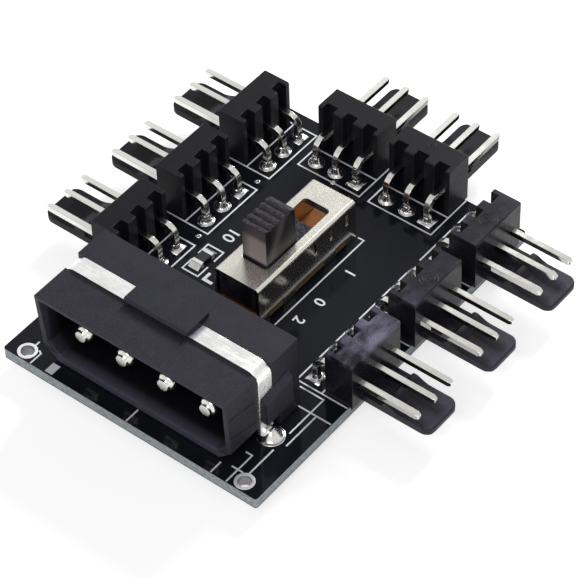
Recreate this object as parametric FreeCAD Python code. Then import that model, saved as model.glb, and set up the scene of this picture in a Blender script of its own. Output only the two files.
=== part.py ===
import FreeCAD, Part
import math
import os
from FreeCAD import Vector

# Fan hub: a small circuit board with eight three-pin fan headers on three of its edges, one
# four-pin power socket on the fourth, and a three-position slide switch in the middle.
# Frame: the origin is on the board's underside, midway between the two corner holes. +X runs
# along the socket edge, +Y away from the socket, +Z up through the parts. Millimetres.

# Circuit board
BOARD_W = 31.3
BOARD_L = 43.1
BOARD_T = 1.3
BOARD_CORNER_R = 0.3
HOLE_INSET_X = 2.2
HOLE_INSET_Y = 1.1
HOLE_R = 0.7
HOLE_RING_R = 1.02
HOLE_RING_T = 0.05

# Fan headers: three on the left and right edges, two on the back edge
PIN_PITCH = 2.54
HEADER_PINS = 3
ROW_INSET = 4.75
SIDE_HEADERS = 3
SIDE_FIRST = 17.78
SIDE_PITCH = 9.86
BACK_HEADERS = 2
BACK_PITCH = 8.98
BACK_MID = -0.1

# Fan header housing, measured outwards from its row of pads and up from the board
HEAD_W = 7.5
HEAD_H = 5.85
HEAD_INNER = 1.93
HEAD_DEPTH = 3.25
HEAD_EDGE = 0.12
GROOVE_W = 1.35
GROOVE_D = 0.95
TAB_W = 4.8
TAB_T = 0.8
TAB_LIFT = 0.2
TAB_LENGTH = 8.0
TAB_CORNER_R = 1.1
TAB_EDGE = 0.18
RAMP_H = 0.5
RAMP_START = 2.4
RAMP_NOSE = 0.25
RAMP_CREST = 0.65
RAMP_FOOT = 0.5
RAMP_END = 4.4

# Fan header pins: square wire bent down into the board
WIRE = 0.64
PIN_HEIGHT = 2.72
PIN_REACH = 12.15
PIN_BEND_R = 1.0
BEND_FACETS = 5
PIN_TAIL = 1.3
PIN_TIP_L = 0.38
PIN_TIP_W = 0.4
PIN_HOLE_R = 0.5

# Solder fillets: foot radius on the pad, shoulder and neck
FILLET_SIDES = 8
PAD_R = 0.95
PAD_T = 0.04
SQUARE_PAD = 1.7
FILLET_MID_R = 0.62
FILLET_MID_H = 0.24
FILLET_NECK_GAP = 0.02
FILLET_H = 0.7
UNDER_H = 0.65

# Power socket: housing, strap and round pins
POWER_MID = -0.05
SHROUD_W = 23.2
SHROUD_TOP = 8.9
SHROUD_LIFT = 0.3
SHROUD_FRONT = 1.2
SHROUD_RAKE = 0.55
SHROUD_CHAMFER = 1.7
SHROUD_WALL = 0.8
SHROUD_FLOOR = 0.95
SHROUD_LEAD_IN = 0.25
CAVITY_DEPTH = 7.4
STRAP_FRONT = 5.72
STRAP_W = 1.95
STRAP_T = 0.3
STRAP_SPAN = 23.5
STRAP_GAP = 0.03
STRAP_BEND_R = 1.25
STRAP_SHOULDER_Z = 0.95
STRAP_TAPER_H = 0.6
STRAP_LEG_W = 1.1
STRAP_TAIL = 1.2
STRAP_HOLE_R = 1.0
STRAP_PAD_R = 1.4
STRAP_PAD_OUT = 0.35
STRAP_PAD_BACK = 0.25
STRAP_FILLET_H = 1.1
BLOCK_DEPTH = 3.9
BRIDGE_W = 7.6
BRIDGE_MID = -0.4
BRIDGE_T = 0.5
BRIDGE_NOSE = 0.3
BRIDGE_BACK = 8.85
BRIDGE_ROOT = 0.5
RIB_OUT = 0.55
RIB_GAP = 0.05
RIB_FRONT = 6.1
RIB_BACK = 10.0
RIB_BOTTOM = 2.4
RIB_SHELF = 5.15
RIB_TOP = 5.75
RIB_RISE = 0.6
RELIEF_GAP = 0.2
CHAMBER_WALL = 0.6
CHAMBER_MARGIN = 1.6
ARCH_W = 3.0
ARCH_H = 0.85

POWER_PINS = 4
POWER_PITCH = 5.08
POWER_PIN_R = 1.05
POWER_PIN_Z = 4.35
POWER_PIN_FRONT = 2.7
POWER_PIN_NOSE = 1.0
POWER_PIN_NOSE_R = 0.55
POWER_WIRE = 1.1
POWER_BEND_R = 0.7
POWER_TAIL_GAP = 0.3
POWER_TAIL = 1.3
POWER_HOLE_R = 0.85
POWER_PAD_R = 1.3

# Slide switch
SWITCH_MID = -0.1
SWITCH_FRONT = 16.85
SWITCH_W = 5.5
SWITCH_L = 15.3
SWITCH_TOP = 5.2
FRAME_T = 0.3
FRAME_EDGE_R = 0.45
FRAME_SKIRT_Z = 1.22
FOOT_L = 1.55
CRIMP_L = 1.9
CRIMP_FIRST = 3.7
CRIMP_PITCH = 6.4
CRIMP_LIP = 0.45
SLOT_W = 3.2
SLOT_L = 10.1
SLOT_CORNER_R = 0.45
SLOT_OFFSET = 0.1
DETENTS = 3
DETENT_W = 0.35
DETENT_H = 1.4
DETENT_Z = 3.0
DETENT_OFFSET = 1.2
BASE_T = 0.78
BASE_LIFT = 0.44
BASE_GAP = 0.03
KNOB_W = 2.95
KNOB_L = 4.6
KNOB_TOP = 9.95
KNOB_RIDGES = 5
RIDGE_D = 0.32
RIDGE_CREST = 0.35
RIDGE_FOOT = 0.9
KNOB_START_GAP = 0.2
SLIDER_W = 4.4
SLIDER_END_GAP = 0.1
SLIDER_TOP_GAP = 0.12
SLIDER_BOTTOM = 1.95
TRAVEL = 5.0

# Switch terminals and moving contacts
TERMINALS = 4
TERMINAL_PITCH = 2.5
TERMINAL_ROWS = 2.2
TERMINAL_HEAD_W = 1.2
TERMINAL_HEAD_L = 1.9
TERMINAL_HEAD_T = 0.3
TERMINAL_W = 0.8
TERMINAL_T = 0.3
TERMINAL_TAIL = 1.2
TERMINAL_HOLE_R = 0.5
TERMINAL_PAD_R = 0.85
CLIP_W = 0.9
CLIP_T = 0.15
CLIP_L = 4.4
CLIP_DIP = 0.5
CLIP_GAP = 0.04
CLIP_CREST = 2.75

# Chip parts beside the switch
CHIP_W = 1.25
CHIP_L = 2.0
CHIP_T = 0.5
CHIP_CAP_L = 0.4
CHIP_CAP_T = 0.03
CHIP_PAD_L = 3.1
CHIP_PAD_W = 1.3
CHIP_LIFT = 0.06
RESISTOR_WEDGE_H = 0.4
LED_WEDGE_H = 0.2
RESISTOR_AT = (-7.65, 20.65)
LED_AT = (-5.6, 15.2)
LED_LENS_T = 0.75
LED_LENS_TAPER = 0.15

# Places worked out from the values above
FRONT = -HOLE_INSET_Y
BACK = FRONT + BOARD_L
TOP = BOARD_T
HALF_W = BOARD_W / 2
HEAD_OUTER = HEAD_INNER + HEAD_DEPTH
BLOCK_FRONT = STRAP_FRONT + STRAP_W + STRAP_GAP
BLOCK_BACK = BLOCK_FRONT + BLOCK_DEPTH
WAIST_W = STRAP_SPAN - 2 * STRAP_T
STRAP_TOP = SHROUD_TOP + STRAP_T
BRIDGE_TOP = STRAP_TOP + BRIDGE_T
CAVITY_BACK = SHROUD_FRONT + CAVITY_DEPTH
LEG_X = (STRAP_SPAN - STRAP_T) / 2
LEG_Y = STRAP_FRONT + STRAP_W / 2
BLOCK_HALF = STRAP_SPAN / 2
TAIL_Y = BLOCK_BACK - CHAMBER_WALL - POWER_TAIL_GAP - POWER_WIRE / 2
BASE_TOP = BASE_LIFT + BASE_T
HEAD_TOP = BASE_TOP + TERMINAL_HEAD_T
SWITCH_CENTRE = SWITCH_FRONT + SWITCH_L / 2
SLOT_FRONT = SWITCH_CENTRE + SLOT_OFFSET - SLOT_L / 2
KNOB_FRONT = SLOT_FRONT + KNOB_START_GAP
SLIDER_L = SWITCH_L - TRAVEL - 2 * SLIDER_END_GAP
SLIDER_FRONT = SWITCH_CENTRE - (SLIDER_L + TRAVEL) / 2


def box(x, y, z):
    """Solid between two limits on each axis."""
    return Part.makeBox(x[1] - x[0], y[1] - y[0], z[1] - z[0], Vector(x[0], y[0], z[0]))


def prism(points, along):
    """Closed polygon pushed along a vector."""
    wire = Part.makePolygon([Vector(*p) for p in points] + [Vector(*points[0])])
    return Part.Face(wire).extrude(Vector(*along))


def slab(x, y, z, corner_r):
    """Plate with rounded upright corners."""
    solid = box(x, y, z)
    upright = [e for e in solid.Edges if abs(e.Vertexes[0].Z - e.Vertexes[1].Z) > 1e-6]
    return solid.makeFillet(corner_r, upright)


def rounded_ridge(solid, radius):
    """Solid whose two upper edges along the Y axis are rounded."""
    high = solid.BoundBox.ZMax
    ridge = [e for e in solid.Edges if min(v.Z for v in e.Vertexes) > high - 1e-6
             and abs(e.Vertexes[0].Y - e.Vertexes[1].Y) > 1e-6]
    return solid.makeFillet(radius, ridge)


def turned(profile):
    """Solid of revolution about the upright axis from (radius, height) points."""
    face = Part.Face(Part.makePolygon([Vector(r, 0, z) for r, z in profile + profile[:1]]))
    return face.revolve(Vector(0, 0, 0), Vector(0, 0, 1), 360)


def skinned(rings):
    """Solid with flat sides between closed rings of equally many points, and a flat cap at both ends."""
    faces = [Part.Face(Part.makePolygon(ring + ring[:1])) for ring in (rings[0], rings[-1])]
    for low, high in zip(rings, rings[1:]):
        for i in range(len(low)):
            quad = [low[i - 1], low[i], high[i], high[i - 1]]
            faces.append(Part.Face(Part.makePolygon(quad + quad[:1])))
    solid = Part.Solid(Part.Shell(faces))
    if solid.Volume < 0:
        solid.reverse()
    return solid.removeSplitter()


def faceted(profile, sides=FILLET_SIDES):
    """Stack of straight-sided rings about the upright axis from (radius, height) points."""
    turns = [2 * math.pi * (i + 0.5) / sides for i in range(sides)]
    return skinned([[Vector(r * math.cos(a), r * math.sin(a), z) for a in turns] for r, z in profile])


def square_tip(start, end, half_start, half_end, side):
    """Square tip that tapers from start to end; side is one of its cross directions."""
    other = end.sub(start).cross(side)
    other.normalize()
    rings = []
    for centre, half in ((start, half_start), (end, half_end)):
        corners = ((-1, -1), (1, -1), (1, 1), (-1, 1))
        rings.append([centre + side * (a * half) + other * (b * half) for a, b in corners])
    return skinned(rings)


def bent_wire(reach, height, bottom, bend_r, width):
    """Square wire: level from x = reach to a bend at x = 0, then down to z = bottom."""
    half = width / 2

    def corner(radius):
        turns = [math.pi / 2 * i / BEND_FACETS for i in range(BEND_FACETS + 1)]
        return [(bend_r - radius * math.cos(a), height - bend_r + radius * math.sin(a)) for a in turns]

    outline = [(-half, bottom)] + corner(bend_r + half) + [(reach, height + half), (reach, height - half)]
    outline += corner(bend_r - half)[::-1] + [(half, bottom)]
    return prism([(x, -half, z) for x, z in outline], (0, width, 0))


def header_places():
    """Name, middle pad and turn of each fan header; the turn points its housing off the board."""
    places = []
    for i in range(SIDE_HEADERS):
        y = FRONT + SIDE_FIRST + i * SIDE_PITCH
        places.append(("fan_header_left_%d" % (i + 1), Vector(ROW_INSET - HALF_W, y, TOP), 180))
    for i in range(BACK_HEADERS):
        x = BACK_MID + (i - (BACK_HEADERS - 1) / 2) * BACK_PITCH
        places.append(("fan_header_back_%d" % (i + 1), Vector(x, BACK - ROW_INSET, TOP), 90))
    for i in range(SIDE_HEADERS):
        y = FRONT + SIDE_FIRST + i * SIDE_PITCH
        places.append(("fan_header_right_%d" % (i + 1), Vector(HALF_W - ROW_INSET, y, TOP), 0))
    return places


def placed(shape, at, turn=0):
    """Copy of a shape turned about the upright axis and then moved."""
    copy = shape.copy()
    copy.Placement = FreeCAD.Placement(at, FreeCAD.Rotation(Vector(0, 0, 1), turn))
    return copy


def pin_offsets():
    """Sideways place of each pin in a fan header, the square pad's first."""
    return [(i - (HEADER_PINS - 1) / 2) * PIN_PITCH for i in range(HEADER_PINS)]


def header_pin_spots():
    """Pad of every fan header pin with its header's turn, header by header."""
    spots = []
    for name, at, turn in header_places():
        for offset in pin_offsets():
            local = FreeCAD.Rotation(Vector(0, 0, 1), turn).multVec(Vector(0, offset, 0))
            spots.append((at + local, turn))
    return spots


def power_pin_xs():
    return [POWER_MID + (i - (POWER_PINS - 1) / 2) * POWER_PITCH for i in range(POWER_PINS)]


def terminal_spots():
    """Middle of each switch terminal, row by row."""
    ys = [FRONT + SWITCH_CENTRE + (i - (TERMINALS - 1) / 2) * TERMINAL_PITCH for i in range(TERMINALS)]
    return [(SWITCH_MID + side * TERMINAL_ROWS / 2, y) for side in (-1, 1) for y in ys]


def corner_holes():
    return [Vector(side * (HALF_W - HOLE_INSET_X), 0, 0) for side in (-1, 1)]


def strap_spots():
    """Pad of each strap leg, a little outside and behind the leg itself."""
    y = FRONT + LEG_Y + STRAP_PAD_BACK
    return [Vector(POWER_MID + side * (LEG_X + STRAP_PAD_OUT), y, 0) for side in (-1, 1)]


def circuit_board():
    """Plate with two plated corner holes; the others are filled by solder and have its flats."""
    board = slab((-HALF_W, HALF_W), (FRONT, BACK), (0, TOP), BOARD_CORNER_R)
    filled = [(spot, PIN_HOLE_R, turn) for spot, turn in header_pin_spots()]
    filled += [(Vector(x, FRONT + TAIL_Y, 0), POWER_HOLE_R, 0) for x in power_pin_xs()]
    filled += [(spot, STRAP_HOLE_R, 0) for spot in strap_spots()]
    filled += [(Vector(x, y, 0), TERMINAL_HOLE_R, 0) for x, y in terminal_spots()]
    holes = [placed(faceted([(r, 0), (r, TOP)]), Vector(spot.x, spot.y, 0), turn) for spot, r, turn in filled]
    holes += [Part.makeCylinder(HOLE_RING_R, TOP, spot) for spot in corner_holes()]
    return board.cut(Part.makeCompound(holes))


def corner_hole_plating():
    """Metal sleeve that stands just proud of both faces of the board, one for each corner hole."""
    sleeve = turned([(HOLE_R, -HOLE_RING_T), (HOLE_RING_R, -HOLE_RING_T), (HOLE_RING_R, TOP + HOLE_RING_T),
                     (HOLE_R, TOP + HOLE_RING_T)])
    return Part.makeCompound([placed(sleeve, spot) for spot in corner_holes()])


def header_tab():
    """Flat tongue under the free pins, with the ramp that the plug's catch rides over."""
    end = HEAD_OUTER + TAB_LENGTH
    under, face = TAB_LIFT, TAB_LIFT + TAB_T
    crest = face + RAMP_H
    start = HEAD_OUTER + RAMP_START
    side_view = [
        (HEAD_OUTER, under), (end - TAB_EDGE, under), (end, under + TAB_EDGE), (end, face - TAB_EDGE),
        (end - TAB_EDGE, face), (HEAD_OUTER + RAMP_END, face),
        (HEAD_OUTER + RAMP_END - RAMP_FOOT, face + RAMP_H / 4),
        (start + RAMP_CREST + RAMP_FOOT / 2, crest - RAMP_H / 4), (start + RAMP_CREST, crest),
        (start + RAMP_NOSE, crest), (start, crest - RAMP_NOSE), (start, face), (HEAD_OUTER, face),
    ]
    tongue = prism([(x, -TAB_W / 2, z) for x, z in side_view], (0, TAB_W, 0))
    plan = box((HEAD_OUTER, end), (-TAB_W / 2, TAB_W / 2), (under, crest))
    outer = [e for e in plan.Edges if abs(e.Vertexes[0].X - end) < 1e-6 and abs(e.Vertexes[1].X - end) < 1e-6
             and abs(e.Vertexes[0].Z - e.Vertexes[1].Z) > 1e-6]
    return tongue.common(plan.makeFillet(TAB_CORNER_R, outer))


def header_housing():
    """Upright comb that holds three pins: open grooves on the board side, a tongue on the other."""
    side_view = [(HEAD_INNER, 0), (HEAD_OUTER, 0), (HEAD_OUTER, HEAD_H - HEAD_EDGE), (HEAD_OUTER - HEAD_EDGE, HEAD_H),
                 (HEAD_INNER + HEAD_EDGE, HEAD_H), (HEAD_INNER, HEAD_H - HEAD_EDGE)]
    body = prism([(x, -HEAD_W / 2, z) for x, z in side_view], (0, HEAD_W, 0))
    cuts = []
    for y in pin_offsets():
        groove = box((HEAD_INNER - 1, HEAD_INNER + GROOVE_D), (y - GROOVE_W / 2, y + GROOVE_W / 2), (-1, HEAD_H + 1))
        passage = box((HEAD_INNER, HEAD_OUTER + 1), (y - WIRE / 2, y + WIRE / 2),
                      (PIN_HEIGHT - WIRE / 2, PIN_HEIGHT + WIRE / 2))
        cuts += [groove, passage]
    return body.fuse(header_tab()).cut(cuts).removeSplitter()


def header_pin():
    """Square wire with a blunt point at both ends."""
    bottom = -TOP - PIN_TAIL
    wire = bent_wire(PIN_REACH - PIN_TIP_L, PIN_HEIGHT, bottom + PIN_TIP_L, PIN_BEND_R, WIRE)
    side = Vector(0, 1, 0)
    ends = [
        (Vector(PIN_REACH - PIN_TIP_L, 0, PIN_HEIGHT), Vector(PIN_REACH, 0, PIN_HEIGHT)),
        (Vector(0, 0, bottom + PIN_TIP_L), Vector(0, 0, bottom)),
    ]
    tips = [square_tip(start, end, WIRE / 2, PIN_TIP_W / 2, side) for start, end in ends]
    return wire.fuse(tips).removeSplitter()


def fillet(pad_r, mid_r, neck_r, hole_r, height):
    """Solder round a tail: a hollow-sided cone on the board, a filled hole and a smaller cone below."""
    return faceted([(neck_r, -TOP - UNDER_H), (pad_r, -TOP), (hole_r, -TOP), (hole_r, 0), (pad_r, 0),
                    (mid_r, FILLET_MID_H), (neck_r, height)])


def header_solder_joints():
    half = WIRE / 2
    neck = half * math.sqrt(2) + FILLET_NECK_GAP
    stem = box((-half, half), (-half, half), (-2 * TOP - UNDER_H, TOP))
    joint = fillet(PAD_R, FILLET_MID_R, neck, PIN_HOLE_R, FILLET_H).cut(stem)
    pad = box((-SQUARE_PAD / 2, SQUARE_PAD / 2), (-SQUARE_PAD / 2, SQUARE_PAD / 2), (0, PAD_T))
    cone = fillet(SQUARE_PAD / 2, FILLET_MID_R, neck, PIN_HOLE_R, FILLET_H)
    square_joint = cone.fuse(pad).cut(stem).removeSplitter()
    joints = []
    for i, (spot, turn) in enumerate(header_pin_spots()):
        first = i % HEADER_PINS == 0
        joints.append(placed(square_joint if first else joint, spot, turn))
    return Part.makeCompound(joints)


def shroud_section(grow, bottom, top):
    """Outline of the shroud seen from the front: its two lower corners are cut off."""
    half = SHROUD_W / 2 + grow
    cut = SHROUD_CHAMFER + grow * (2 - math.sqrt(2))
    low = SHROUD_LIFT + bottom
    return [(-half, SHROUD_TOP + top), (-half, low + cut), (-half + cut, low), (half - cut, low), (half, low + cut),
            (half, SHROUD_TOP + top)]


def socket_shroud():
    """Front tube of the socket, with a raked mouth, up to the strap's seat."""
    outer = prism([(POWER_MID + x, FRONT + SHROUD_FRONT, z) for x, z in shroud_section(0, 0, 0)],
                  (0, STRAP_FRONT - STRAP_GAP - SHROUD_FRONT, 0))
    rake = prism([(-BOARD_W, FRONT + SHROUD_FRONT - 1, -1), (-BOARD_W, FRONT + SHROUD_FRONT + SHROUD_RAKE, SHROUD_LIFT),
                  (-BOARD_W, FRONT + SHROUD_FRONT, SHROUD_TOP), (-BOARD_W, FRONT + SHROUD_FRONT - 1, SHROUD_TOP)],
                 (2 * BOARD_W, 0, 0))
    return outer.cut(rake)


def socket_cavity():
    """Space that the plug fills, with a small lead-in at the mouth."""
    section = shroud_section(-SHROUD_WALL, SHROUD_FLOOR, -SHROUD_WALL)
    inner = prism([(POWER_MID + x, FRONT, z) for x, z in section], (0, CAVITY_BACK, 0))
    mouth = FRONT + SHROUD_FRONT
    rings = []
    for y, grow in ((mouth - SHROUD_LEAD_IN, 2 * SHROUD_LEAD_IN), (mouth + SHROUD_LEAD_IN + SHROUD_RAKE, 0)):
        wide = shroud_section(grow - SHROUD_WALL, SHROUD_FLOOR - grow, grow - SHROUD_WALL)
        rings.append([Vector(POWER_MID + x, y, z) for x, z in wide])
    return inner.fuse(skinned(rings))


def socket_bridge():
    """Tongue from the block over the strap, which holds the strap down."""
    x = (BRIDGE_MID - BRIDGE_W / 2, BRIDGE_MID + BRIDGE_W / 2)
    front = STRAP_FRONT - BRIDGE_NOSE
    side_view = [(front, STRAP_TOP), (front, BRIDGE_TOP - BRIDGE_T / 2), (front + BRIDGE_T / 2, BRIDGE_TOP),
                 (BRIDGE_BACK, BRIDGE_TOP), (BRIDGE_BACK, STRAP_TOP - BRIDGE_ROOT),
                 (BLOCK_FRONT, STRAP_TOP - BRIDGE_ROOT), (BLOCK_FRONT, STRAP_TOP)]
    return prism([(x[0], FRONT + y, z) for y, z in side_view], (x[1] - x[0], 0, 0))


def socket_rib(side):
    """Wedge on the block's flank that rises to the back; in front it stands clear of the strap's leg."""
    root, inner, outer = BLOCK_HALF - STRAP_T, BLOCK_HALF + RIB_GAP, BLOCK_HALF + RIB_GAP + RIB_OUT
    rings = []
    for y, rise in ((RIB_FRONT, 0), (RIB_BACK, RIB_RISE)):
        section = [(root, RIB_BOTTOM), (outer, RIB_BOTTOM), (outer, RIB_SHELF + rise), (inner, RIB_TOP + rise),
                   (root, RIB_TOP + rise)]
        rings.append([Vector(POWER_MID + side * x, FRONT + y, z) for x, z in section])
    reach = sorted((POWER_MID, POWER_MID + side * inner))
    return skinned(rings).cut(box(reach, (FRONT, FRONT + BLOCK_FRONT), (0, SHROUD_TOP)))


def power_socket_housing():
    waist_half = WAIST_W / 2
    waist = box((POWER_MID - waist_half, POWER_MID + waist_half),
                (FRONT + STRAP_FRONT - STRAP_GAP, FRONT + BLOCK_FRONT), (SHROUD_LIFT, SHROUD_TOP))
    waist = rounded_ridge(waist, STRAP_BEND_R - STRAP_T)
    block = box((POWER_MID - BLOCK_HALF, POWER_MID + BLOCK_HALF), (FRONT + BLOCK_FRONT, FRONT + BLOCK_BACK),
                (0, STRAP_TOP))
    solid = socket_shroud().fuse([waist, block, socket_bridge(), socket_rib(-1), socket_rib(1)])
    chamber_half = (POWER_PINS - 1) / 2 * POWER_PITCH + CHAMBER_MARGIN
    chamber = box((POWER_MID - chamber_half, POWER_MID + chamber_half),
                  (FRONT + CAVITY_BACK + CHAMBER_WALL, FRONT + BLOCK_BACK - CHAMBER_WALL),
                  (-1, POWER_PIN_Z + POWER_PIN_R))
    cuts = [socket_cavity(), chamber]
    for x in power_pin_xs():
        cuts.append(box((x - ARCH_W / 2, x + ARCH_W / 2),
                        (FRONT + TAIL_Y - ARCH_W / 2, FRONT + BLOCK_BACK + 1), (-1, ARCH_H)))
        cuts.append(box((x - POWER_WIRE / 2, x + POWER_WIRE / 2), (FRONT + CAVITY_BACK - 1, FRONT + TAIL_Y),
                        (POWER_PIN_Z - POWER_WIRE / 2, POWER_PIN_Z + POWER_WIRE / 2)))
    for spot in strap_spots():
        reach = STRAP_PAD_R + RELIEF_GAP
        cuts.append(box((spot.x - reach, spot.x + reach), (FRONT + STRAP_FRONT - STRAP_GAP, spot.y + reach),
                        (-1, STRAP_FILLET_H + RELIEF_GAP)))
    return solid.cut(cuts).removeSplitter()


def power_socket_strap():
    """Tinned strip over the socket; each end turns down, narrows and goes through the board."""
    half = STRAP_SPAN / 2
    inner_r = STRAP_BEND_R - STRAP_T
    bottom = -TOP - STRAP_TAIL
    turn_z = STRAP_TOP - STRAP_BEND_R
    outline = []
    for side in (-1, 1):
        turn = Vector(POWER_MID + side * (half - STRAP_BEND_R), 0, turn_z)
        for radius in (STRAP_BEND_R, inner_r):
            diagonal = Vector(side * math.sqrt(0.5), 0, math.sqrt(0.5)) * radius
            outline.append(Part.Arc(turn + Vector(side * radius, 0, 0), turn + diagonal,
                                    turn + Vector(0, 0, radius)).toShape())
            x = turn.x + side * radius
            outline.append(Part.makeLine(Vector(x, 0, turn_z), Vector(x, 0, bottom)))
        outline.append(Part.makeLine(Vector(POWER_MID + side * half, 0, bottom),
                                     Vector(POWER_MID + side * (half - STRAP_T), 0, bottom)))
    for z in (STRAP_TOP, SHROUD_TOP):
        level = half - STRAP_BEND_R
        outline.append(Part.makeLine(Vector(POWER_MID - level, 0, z), Vector(POWER_MID + level, 0, z)))
    face = Part.Face(Part.Wire(Part.__sortEdges__(outline)))
    strip = face.extrude(Vector(0, STRAP_W, 0)).translated(Vector(0, FRONT + STRAP_FRONT, 0))
    cuts = []
    neck_z = STRAP_SHOULDER_Z - STRAP_TAPER_H
    for side in (-1, 1):
        edge = FRONT + LEG_Y + side * STRAP_LEG_W / 2
        far = FRONT + LEG_Y + side * STRAP_W
        rim = FRONT + LEG_Y + side * STRAP_W / 2
        cuts.append(prism([(-BOARD_W, rim, STRAP_SHOULDER_Z), (-BOARD_W, edge, neck_z), (-BOARD_W, edge, bottom - 1),
                           (-BOARD_W, far, bottom - 1), (-BOARD_W, far, STRAP_SHOULDER_Z)], (2 * BOARD_W, 0, 0)))
    return strip.cut(cuts).removeSplitter()


def power_pin():
    """Round pin with a blunt nose; its square tail goes through the wall and down into the board."""
    length = CAVITY_BACK - POWER_PIN_FRONT
    barrel = turned([(0, 0), (POWER_PIN_NOSE_R, 0), (POWER_PIN_R, POWER_PIN_NOSE), (POWER_PIN_R, length), (0, length)])
    barrel.rotate(Vector(0, 0, 0), Vector(1, 0, 0), -90)
    barrel.translate(Vector(0, FRONT + POWER_PIN_FRONT, POWER_PIN_Z))
    tail = bent_wire(TAIL_Y - CAVITY_BACK, POWER_PIN_Z, -TOP - POWER_TAIL, POWER_BEND_R, POWER_WIRE)
    tail.rotate(Vector(0, 0, 0), Vector(0, 0, 1), -90)
    tail.translate(Vector(0, FRONT + TAIL_Y, 0))
    return barrel.fuse(tail).removeSplitter()


def power_solder_joints():
    half = POWER_WIRE / 2
    neck = half * math.sqrt(2) + FILLET_NECK_GAP
    stem = box((-half, half), (-half, half), (-2 * TOP - UNDER_H, TOP))
    joint = fillet(POWER_PAD_R, (POWER_PAD_R + neck) / 2, neck, POWER_HOLE_R, FILLET_H).cut(stem)
    joints = [placed(joint, Vector(x, FRONT + TAIL_Y, TOP)) for x in power_pin_xs()]
    blob = fillet(STRAP_PAD_R, (STRAP_PAD_R + STRAP_HOLE_R) / 2, STRAP_HOLE_R, STRAP_HOLE_R, STRAP_FILLET_H)
    strap = raised(power_socket_strap())
    joints += [placed(blob, spot + Vector(0, 0, TOP)).cut(strap) for spot in strap_spots()]
    return Part.makeCompound(joints)


def detent_spots():
    """Slots in the cover's side wall that hold the slider in each of its places."""
    return [FRONT + SWITCH_CENTRE + DETENT_OFFSET + i * TRAVEL / (DETENTS - 1) for i in range(DETENTS)]


def frame_sheet():
    """Sheet metal channel, open at both ends, bent over at its two long edges."""
    half = SWITCH_W / 2
    y0 = FRONT + SWITCH_FRONT
    outer = box((SWITCH_MID - half, SWITCH_MID + half), (y0, y0 + SWITCH_L), (0, SWITCH_TOP))
    outer = rounded_ridge(outer, FRAME_EDGE_R)
    inner = box((SWITCH_MID - half + FRAME_T, SWITCH_MID + half - FRAME_T), (y0 - 1, y0 + SWITCH_L + 1),
                (-1, SWITCH_TOP - FRAME_T))
    return outer.cut(inner)


def switch_frame():
    """Nickelled cover: slotted top, feet at its corners, two crimped lugs on each side, detent slots in one."""
    y0 = FRONT + SWITCH_FRONT
    half = SWITCH_W / 2
    sheet = frame_sheet()
    slot = slab((SWITCH_MID - SLOT_W / 2, SWITCH_MID + SLOT_W / 2), (FRONT + SLOT_FRONT, FRONT + SLOT_FRONT + SLOT_L),
                (SWITCH_TOP - 2 * FRAME_T, SWITCH_TOP + 1), SLOT_CORNER_R)
    lugs = [(CRIMP_FIRST + i * CRIMP_PITCH, CRIMP_FIRST + i * CRIMP_PITCH + CRIMP_L) for i in range(2)]
    gaps = []
    edges = [FOOT_L] + [y for lug in lugs for y in lug] + [SWITCH_L - FOOT_L]
    for start, end in zip(edges[0::2], edges[1::2]):
        gaps.append(box((SWITCH_MID - SWITCH_W, SWITCH_MID + SWITCH_W), (y0 + start, y0 + end), (-1, FRAME_SKIRT_Z)))
    for start, end in lugs:
        gaps.append(box((SWITCH_MID - SWITCH_W, SWITCH_MID + SWITCH_W), (y0 + start, y0 + end),
                        (-1, BASE_LIFT - FRAME_T)))
    for y in detent_spots():
        gaps.append(box((SWITCH_MID + half - 2 * FRAME_T, SWITCH_MID + SWITCH_W), (y - DETENT_W / 2, y + DETENT_W / 2),
                        (DETENT_Z, DETENT_Z + DETENT_H)))
    lips = []
    for side in (-1, 1):
        root = SWITCH_MID + side * half
        tip = SWITCH_MID + side * (half - FRAME_T - CRIMP_LIP)
        for start, end in lugs:
            lips.append(box((min(root, tip), max(root, tip)), (y0 + start, y0 + end), (BASE_LIFT - FRAME_T, BASE_LIFT)))
    return sheet.cut([slot] + gaps).fuse(lips).removeSplitter()


def switch_base():
    """Terminal board, held up in the cover by the crimped lugs."""
    half = SWITCH_W / 2 - FRAME_T - BASE_GAP
    y0 = FRONT + SWITCH_FRONT
    plate = box((SWITCH_MID - half, SWITCH_MID + half), (y0 + BASE_GAP, y0 + SWITCH_L - BASE_GAP),
                (BASE_LIFT, BASE_TOP))
    strips = [box((SWITCH_MID - SWITCH_W / 2, SWITCH_MID + SWITCH_W / 2), (y0 + a, y0 + b), (BASE_LIFT, BASE_TOP))
              for a, b in base_ears()]
    slits = [box((x - TERMINAL_T / 2, x + TERMINAL_T / 2), (y - TERMINAL_W / 2, y + TERMINAL_W / 2),
                 (0, BASE_TOP + 1)) for x, y in terminal_spots()]
    return plate.fuse(strips).cut(slits).removeSplitter()


def base_ears():
    """Stretches where the terminal board comes out flush under the cover's side walls."""
    first = CRIMP_FIRST + CRIMP_L
    second = CRIMP_FIRST + CRIMP_PITCH
    return [(FOOT_L + BASE_GAP, CRIMP_FIRST - BASE_GAP), (first + BASE_GAP, second - BASE_GAP),
            (second + CRIMP_L + BASE_GAP, SWITCH_L - FOOT_L - BASE_GAP)]


def switch_terminal():
    """Flat rivet-like contact on the terminal board with a blade down through the board."""
    head = box((-TERMINAL_HEAD_W / 2, TERMINAL_HEAD_W / 2), (-TERMINAL_HEAD_L / 2, TERMINAL_HEAD_L / 2),
               (BASE_TOP, HEAD_TOP))
    blade = box((-TERMINAL_T / 2, TERMINAL_T / 2), (-TERMINAL_W / 2, TERMINAL_W / 2),
                (-TOP - TERMINAL_TAIL, BASE_TOP))
    return head.fuse(blade).removeSplitter()


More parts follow.
